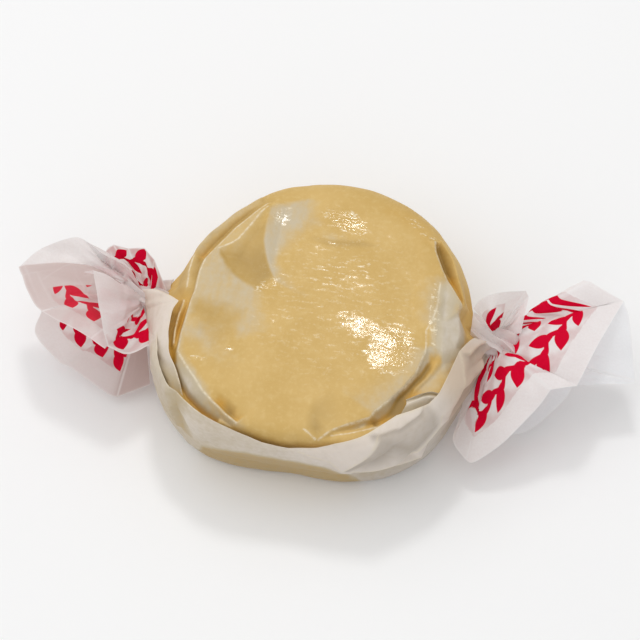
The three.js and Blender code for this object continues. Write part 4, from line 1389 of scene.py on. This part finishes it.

# %% [markdown]
# ## The two fans
# The left fan is a cup of two walls with a small ear behind it, a petal that stands in front, and a low
# skirt. The right fan is one long fold with its back layer showing past it, an ear that stands up, and an
# under leaf.

# %% Leaves of the left fan
# Each leaf: its name, finish, ink, fineness, window and painted shade, and then its ribs.
LEFT_LEAVES = [
    ("left_skirt", doubled_paper, 1.3, 1.3, (2.4, 12, 0, 0.75), (0.3, 0.3, 0.3, 0.4, 0.5, 1, 1), [
        (9.8, -2.4, -0.5, 0.8, 0), (10.1, -4.4, -1.5, 0.6, 0), (7.7, -6.2, -3.0, 0.5, 0),
        (6.3, -6.6, -3.5, 0.5, 0), (2.5, -8.4, -4.4, 0.6, 0), (1.5, -8.6, -4.5, 0.6, 1),
        (-1.5, -7.1, -4.0, 0.4, 0),
    ]),
    ("left_ear", doubled_paper, 1.8, 1.5, (0.05, 9, 0, 1), (0.3, 0.3), [
        (4.6, 2.1, 2.5, 0.5, 0), (4.1, 3.0, 3.5, 0.4, 0), (3.5, 3.3, 4.0, 0.3, 1), (2.0, 3.1, 4.0, 0.5, 1),
        (0.4, 3.1, 4.5, 0.3, 1), (-0.7, 2.2, 4.0, 0.3, 1), (-2.1, 0.2, 2.0, 0.2, 0),
    ]),
    ("left_cup_back", doubled_paper, 0.12, 1.2, (4, 9, 0, 1), (0, 0.1), [
        (4.1, 1.6, 5.0, 0.4, 0), (5.8, 2.7, 5.0, 0.4, 0), (7.5, 3.0, 5.0, 0.4, 0), (10.5, 2.1, 3.5, 0.5, 0),
        (12.4, 0.6, 2.2, 0.6, 0),
    ]),
    ("left_cup_front", doubled_paper, 0.95, 1.3, (1.8, 10, 0.25, 1), (0.8, 0.9, 0.8, 0.6, 0.4, 0.3), [
        (12.4, 0.6, 2.3, 1.9, 1), (11.4, -1.7, 3.5, 1.5, 0), (10.0, -4.1, 4.0, 1.2, 0),
        (9.0, -5.0, 4.0, 1.0, 1), (5.6, -6.4, 4.0, 0.6, 0), (3.9, -7.2, 3.8, 0.4, 1),
        (2.4, -7.9, 3.5, 0.3, 0),
    ]),
    ("left_petal", doubled_paper, 1.0, 1.25, (0.2, 5.6, 0.56, 1), (0, 0, 0, 0.1, 0.2), [
        (5.4, -1.5, 6.5, 0.3, 0), (4.4, -1.6, 7.2, 0.2, 1), (3.6, -4.4, 6.5, 0.3, 0),
        (2.7, -6.8, 5.5, 0.4, 0), (2.2, -7.9, 3.9, 0.4, 1), (0.3, -7.6, 2.5, 0.4, 0),
        (-1.7, -6.0, 2.2, 0.3, 0),
    ]),
]
for name, material, ink, fineness, window, painted_shade, ribs in LEFT_LEAVES:
    finish_sheet(make_leaf(name, "left", ribs, ink, fineness, window, painted_shade), material)

# %% Leaves of the right fan
RIGHT_LEAVES = [
    ("right_under_leaf", single_paper, 0.1, 1.0, (2, 6, 0, 1), (0, 0), [
        (7.9, -2.8, -2.0, 0.4, 0), (7.3, -3.7, -3.0, 0.4, 0), (5.6, -5.5, -4.2, 0.4, 0),
        (3.8, -7.0, -4.7, 0.4, 0), (1.0, -8.1, -4.5, 0.4, 0),
    ]),
    ("right_back_leaf", single_paper, 0.1, 1.0, (5, 9, 0, 1), (0, 0), [
        (7.8, 5.8, 3.0, 0.3, 0), (11.7, 4.5, 2.7, 0.2, 1), (12.4, 3.1, 2.0, 0.2, 0),
        (13.1, 0.5, 0.5, 0.2, 0), (13.7, -2.0, -0.9, 0.2, 1), (13.7, -2.3, -1.0, 0.2, 1),
        (10.9, -2.9, -0.8, 0.2, 0), (7.9, -3.7, -0.5, 0.2, 0),
    ]),
    ("right_ear", doubled_paper, 1.0, 1.3, (1.2, 8, 0.05, 0.4), (0, 0), [
        (-2.5, 1.2, 3.5, 0.3, 0), (-1.9, 1.6, 4.5, 0.3, 0), (-0.4, 2.0, 5.5, 0.3, 0), (2.3, 2.9, 5.0, 0.2, 1),
        (2.6, 2.7, 4.4, 0.2, 1), (2.5, 1.7, 3.5, 0.2, 0), (2.3, 0.0, 2.0, 0.2, 0),
    ]),
    ("right_long_leaf", doubled_paper, 1.0, 1.0, (2.4, 10.5, 0, 1), (0, 0, 0, 0, 0.1, 0.3), [
        (7.6, 5.8, 3.5, 0.3, 1), (8.3, 5.5, 3.9, 0.4, 1), (10.0, 4.9, 3.4, 0.6, 0),
        (11.7, 4.3, 3.0, 0.5, 1), (9.9, -0.5, 3.2, 0.6, 0), (8.7, -4.0, 3.0, 0.6, 0),
        (8.2, -5.2, 2.3, 0.6, 1), (5.8, -5.9, 2.2, 0.7, 1), (4.1, -8.1, 0.5, 0.9, 0),
        (1.7, -10.4, -1.5, 1.0, 0), (-0.6, -11.8, -3.0, 0.9, 0), (-1.4, -11.7, -3.2, 0.8, 1),
        (-2.9, -10.1, -2.5, 0.8, 0), (-2.6, -8.0, -1.8, 0.6, 0), (-2.2, -4.0, -0.8, 0.2, 0),
    ]),
]
for name, material, ink, fineness, window, painted_shade, ribs in RIGHT_LEAVES:
    finish_sheet(make_leaf(name, "right", ribs, ink, fineness, window, painted_shade), material)

# %% [markdown]
# ## The twists
# In each twist the whole width of the paper is wound into a short pleated rope. It is a grid bent into a
# tube whose section is an uneven star that turns on its way out.

# %% Make the twists
ROPE_LENGTH = 5.0
ROPE_START = 2.5
ROPE_PLEATS = 9
ROPE_TURN = 1.7
ROPE_GRID = (200, 70)
ROPE_WAIST = 1.3
ROPE_FLARE_IN = 2.2
ROPE_FLARE_OUT = 3.0
ROPE_FLARE_POWER = 1.5
ROPE_PLEAT_HEIGHT = 0.26
ROPE_CLOSING = (1, 0.85)
ROPE_PAINTED_SHADE = 0.2


def make_twist(side):
    """The pleated rope of one twist: thinnest half way, wider to both ends, closed at the outer one."""
    rope, across, along = flat_sheet(f"{side}_twist", *ROPE_GRID)
    from_waist = np.abs(along - 0.5)
    turn = 2 * math.pi * across
    flare = np.where(along < 0.5, ROPE_FLARE_IN, ROPE_FLARE_OUT) * from_waist**ROPE_FLARE_POWER
    size = (ROPE_WAIST + flare) * (1 + ROPE_PLEAT_HEIGHT * zigzag(ROPE_PLEATS)(across))
    size *= np.sqrt(ease(along, *ROPE_CLOSING))
    wound = turn + ROPE_TURN * along
    out = OUTWARD[side] * (ROPE_LENGTH * along - ROPE_START)
    star = [size * np.cos(wound), OUTWARD[side] * size * np.sin(wound)]
    bend_sheet(rope, np.stack([out, *star], axis=1) + TWISTS[side])
    # Painted shade, growing from the waist towards both ends of the rope.
    paint_sheet(rope, "painted_shade", ROPE_PAINTED_SHADE * from_waist)
    return rope


for side in TWISTS:
    finish_sheet(make_twist(side), doubled_paper)
print(f"{len(TWISTS)} twists, each with {ROPE_PLEATS} pleats")

# %% [markdown]
# ## Floor
# The floor is a plain pale sheet, far wider than the picture, so that its edges never show. Faint noise
# keeps it from being one flat colour.

# %% Floor
FLOOR_SIZE = 4
FLOOR_DARK = (0.93, 0.93, 0.93, 1)
FLOOR_LIGHT = (0.95, 0.95, 0.95, 1)
bpy.ops.object.select_all(action="DESELECT")
bpy.ops.mesh.primitive_plane_add(size=FLOOR_SIZE)
floor = bpy.context.object
floor.name = "floor"
floor_finish = Finish("pale_floor")
floor_shade = floor_finish.noise(floor_finish.place(), 3.0).step(0.2, 0.8)
floor_sockets = {
    "Base Color": floor_finish.blend(floor_shade, FLOOR_DARK, FLOOR_LIGHT),
    "Roughness": 0.9,
}
floor_finish.show(floor_finish.add("ShaderNodeBsdfPrincipled", None, floor_sockets))
floor.data.materials.append(floor_finish.material)
floor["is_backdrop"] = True
print(f"Floor: {FLOOR_SIZE} m wide")

# %% [markdown]
# ## Light
# A large soft key hangs overhead, a little to the left. A smaller light stands opposite the camera, so that
# the waxed top gleams as in the photograph. Two fills and an even white surround lighten the shadows.

# %% Lights
AIM = Vector((0, 0, 0.006))
SURROUND_STRENGTH = 0.57


def add_light(name, towards, distance, size, power):
    """A square soft light facing the sweet: its distance and size are in metres, its power in watts."""
    bpy.ops.object.light_add(type="AREA")
    lamp = bpy.context.object
    lamp.name = name
    lamp.data.shape = "SQUARE"
    lamp.data.size = size
    lamp.data.energy = power
    lamp.location = AIM + Vector(towards).normalized() * distance
    lamp.rotation_euler = Vector(towards).to_track_quat("Z", "Y").to_euler()


add_light("key", (-0.3, 0.2, 1), 0.7, 0.8, 1.4)
add_light("gleam_light", (-0.07, 0.495, 0.866), 0.6, 0.08, 0.6)
add_light("left_fill", (-0.8, -0.3, 0.7), 0.7, 0.5, 0.5)
add_light("front_fill", (0.15, -0.8, 0.55), 0.8, 0.6, 0.4)
world = bpy.data.worlds.new("soft_surround")
world.use_nodes = True
world.node_tree.nodes["Background"].inputs["Color"].default_value = (1, 1, 1, 1)
world.node_tree.nodes["Background"].inputs["Strength"].default_value = SURROUND_STRENGTH
bpy.context.scene.world = world
bpy.context.scene.view_settings.view_transform = "Standard"

# %% [markdown]
# ## Camera
# The camera looks down at 60 degrees, from a little to the right, as in the photograph. A long lens at a
# distance flattens the perspective, so both fans keep nearly the same size.

# %% Camera
CAMERA_AZIMUTH = math.radians(8)
CAMERA_ELEVATION = math.radians(60)
CAMERA_DISTANCE = 0.35
CAMERA_LENS = 203.8
CAMERA_CLIP = 0.01
CAMERA_AIM = Vector((-0.00002, 0.00118, 0.00638))
camera_back = Vector(
    (
        math.sin(CAMERA_AZIMUTH) * math.cos(CAMERA_ELEVATION),
        -math.cos(CAMERA_AZIMUTH) * math.cos(CAMERA_ELEVATION),
        math.sin(CAMERA_ELEVATION),
    )
)
bpy.ops.object.camera_add()
camera = bpy.context.object
camera.location = CAMERA_AIM + camera_back * CAMERA_DISTANCE
camera.rotation_euler = camera_back.to_track_quat("Z", "Y").to_euler()
camera.data.lens = CAMERA_LENS
camera.data.clip_start = CAMERA_CLIP
bpy.context.scene.camera = camera
print(f"Camera: {CAMERA_DISTANCE} m away, with a {CAMERA_LENS} mm lens")

# %% [markdown]
# ## Sizes
# Paper may stand a little proud of the solids, so the boxes of the CAD model and of the scene are
# printed side by side.

# %% Print the sizes
visual_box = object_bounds()
sizes = {"cad": [list(corner) for corner in cad_box], "visual": [list(corner) for corner in visual_box]}
print("Boxes:", sizes)
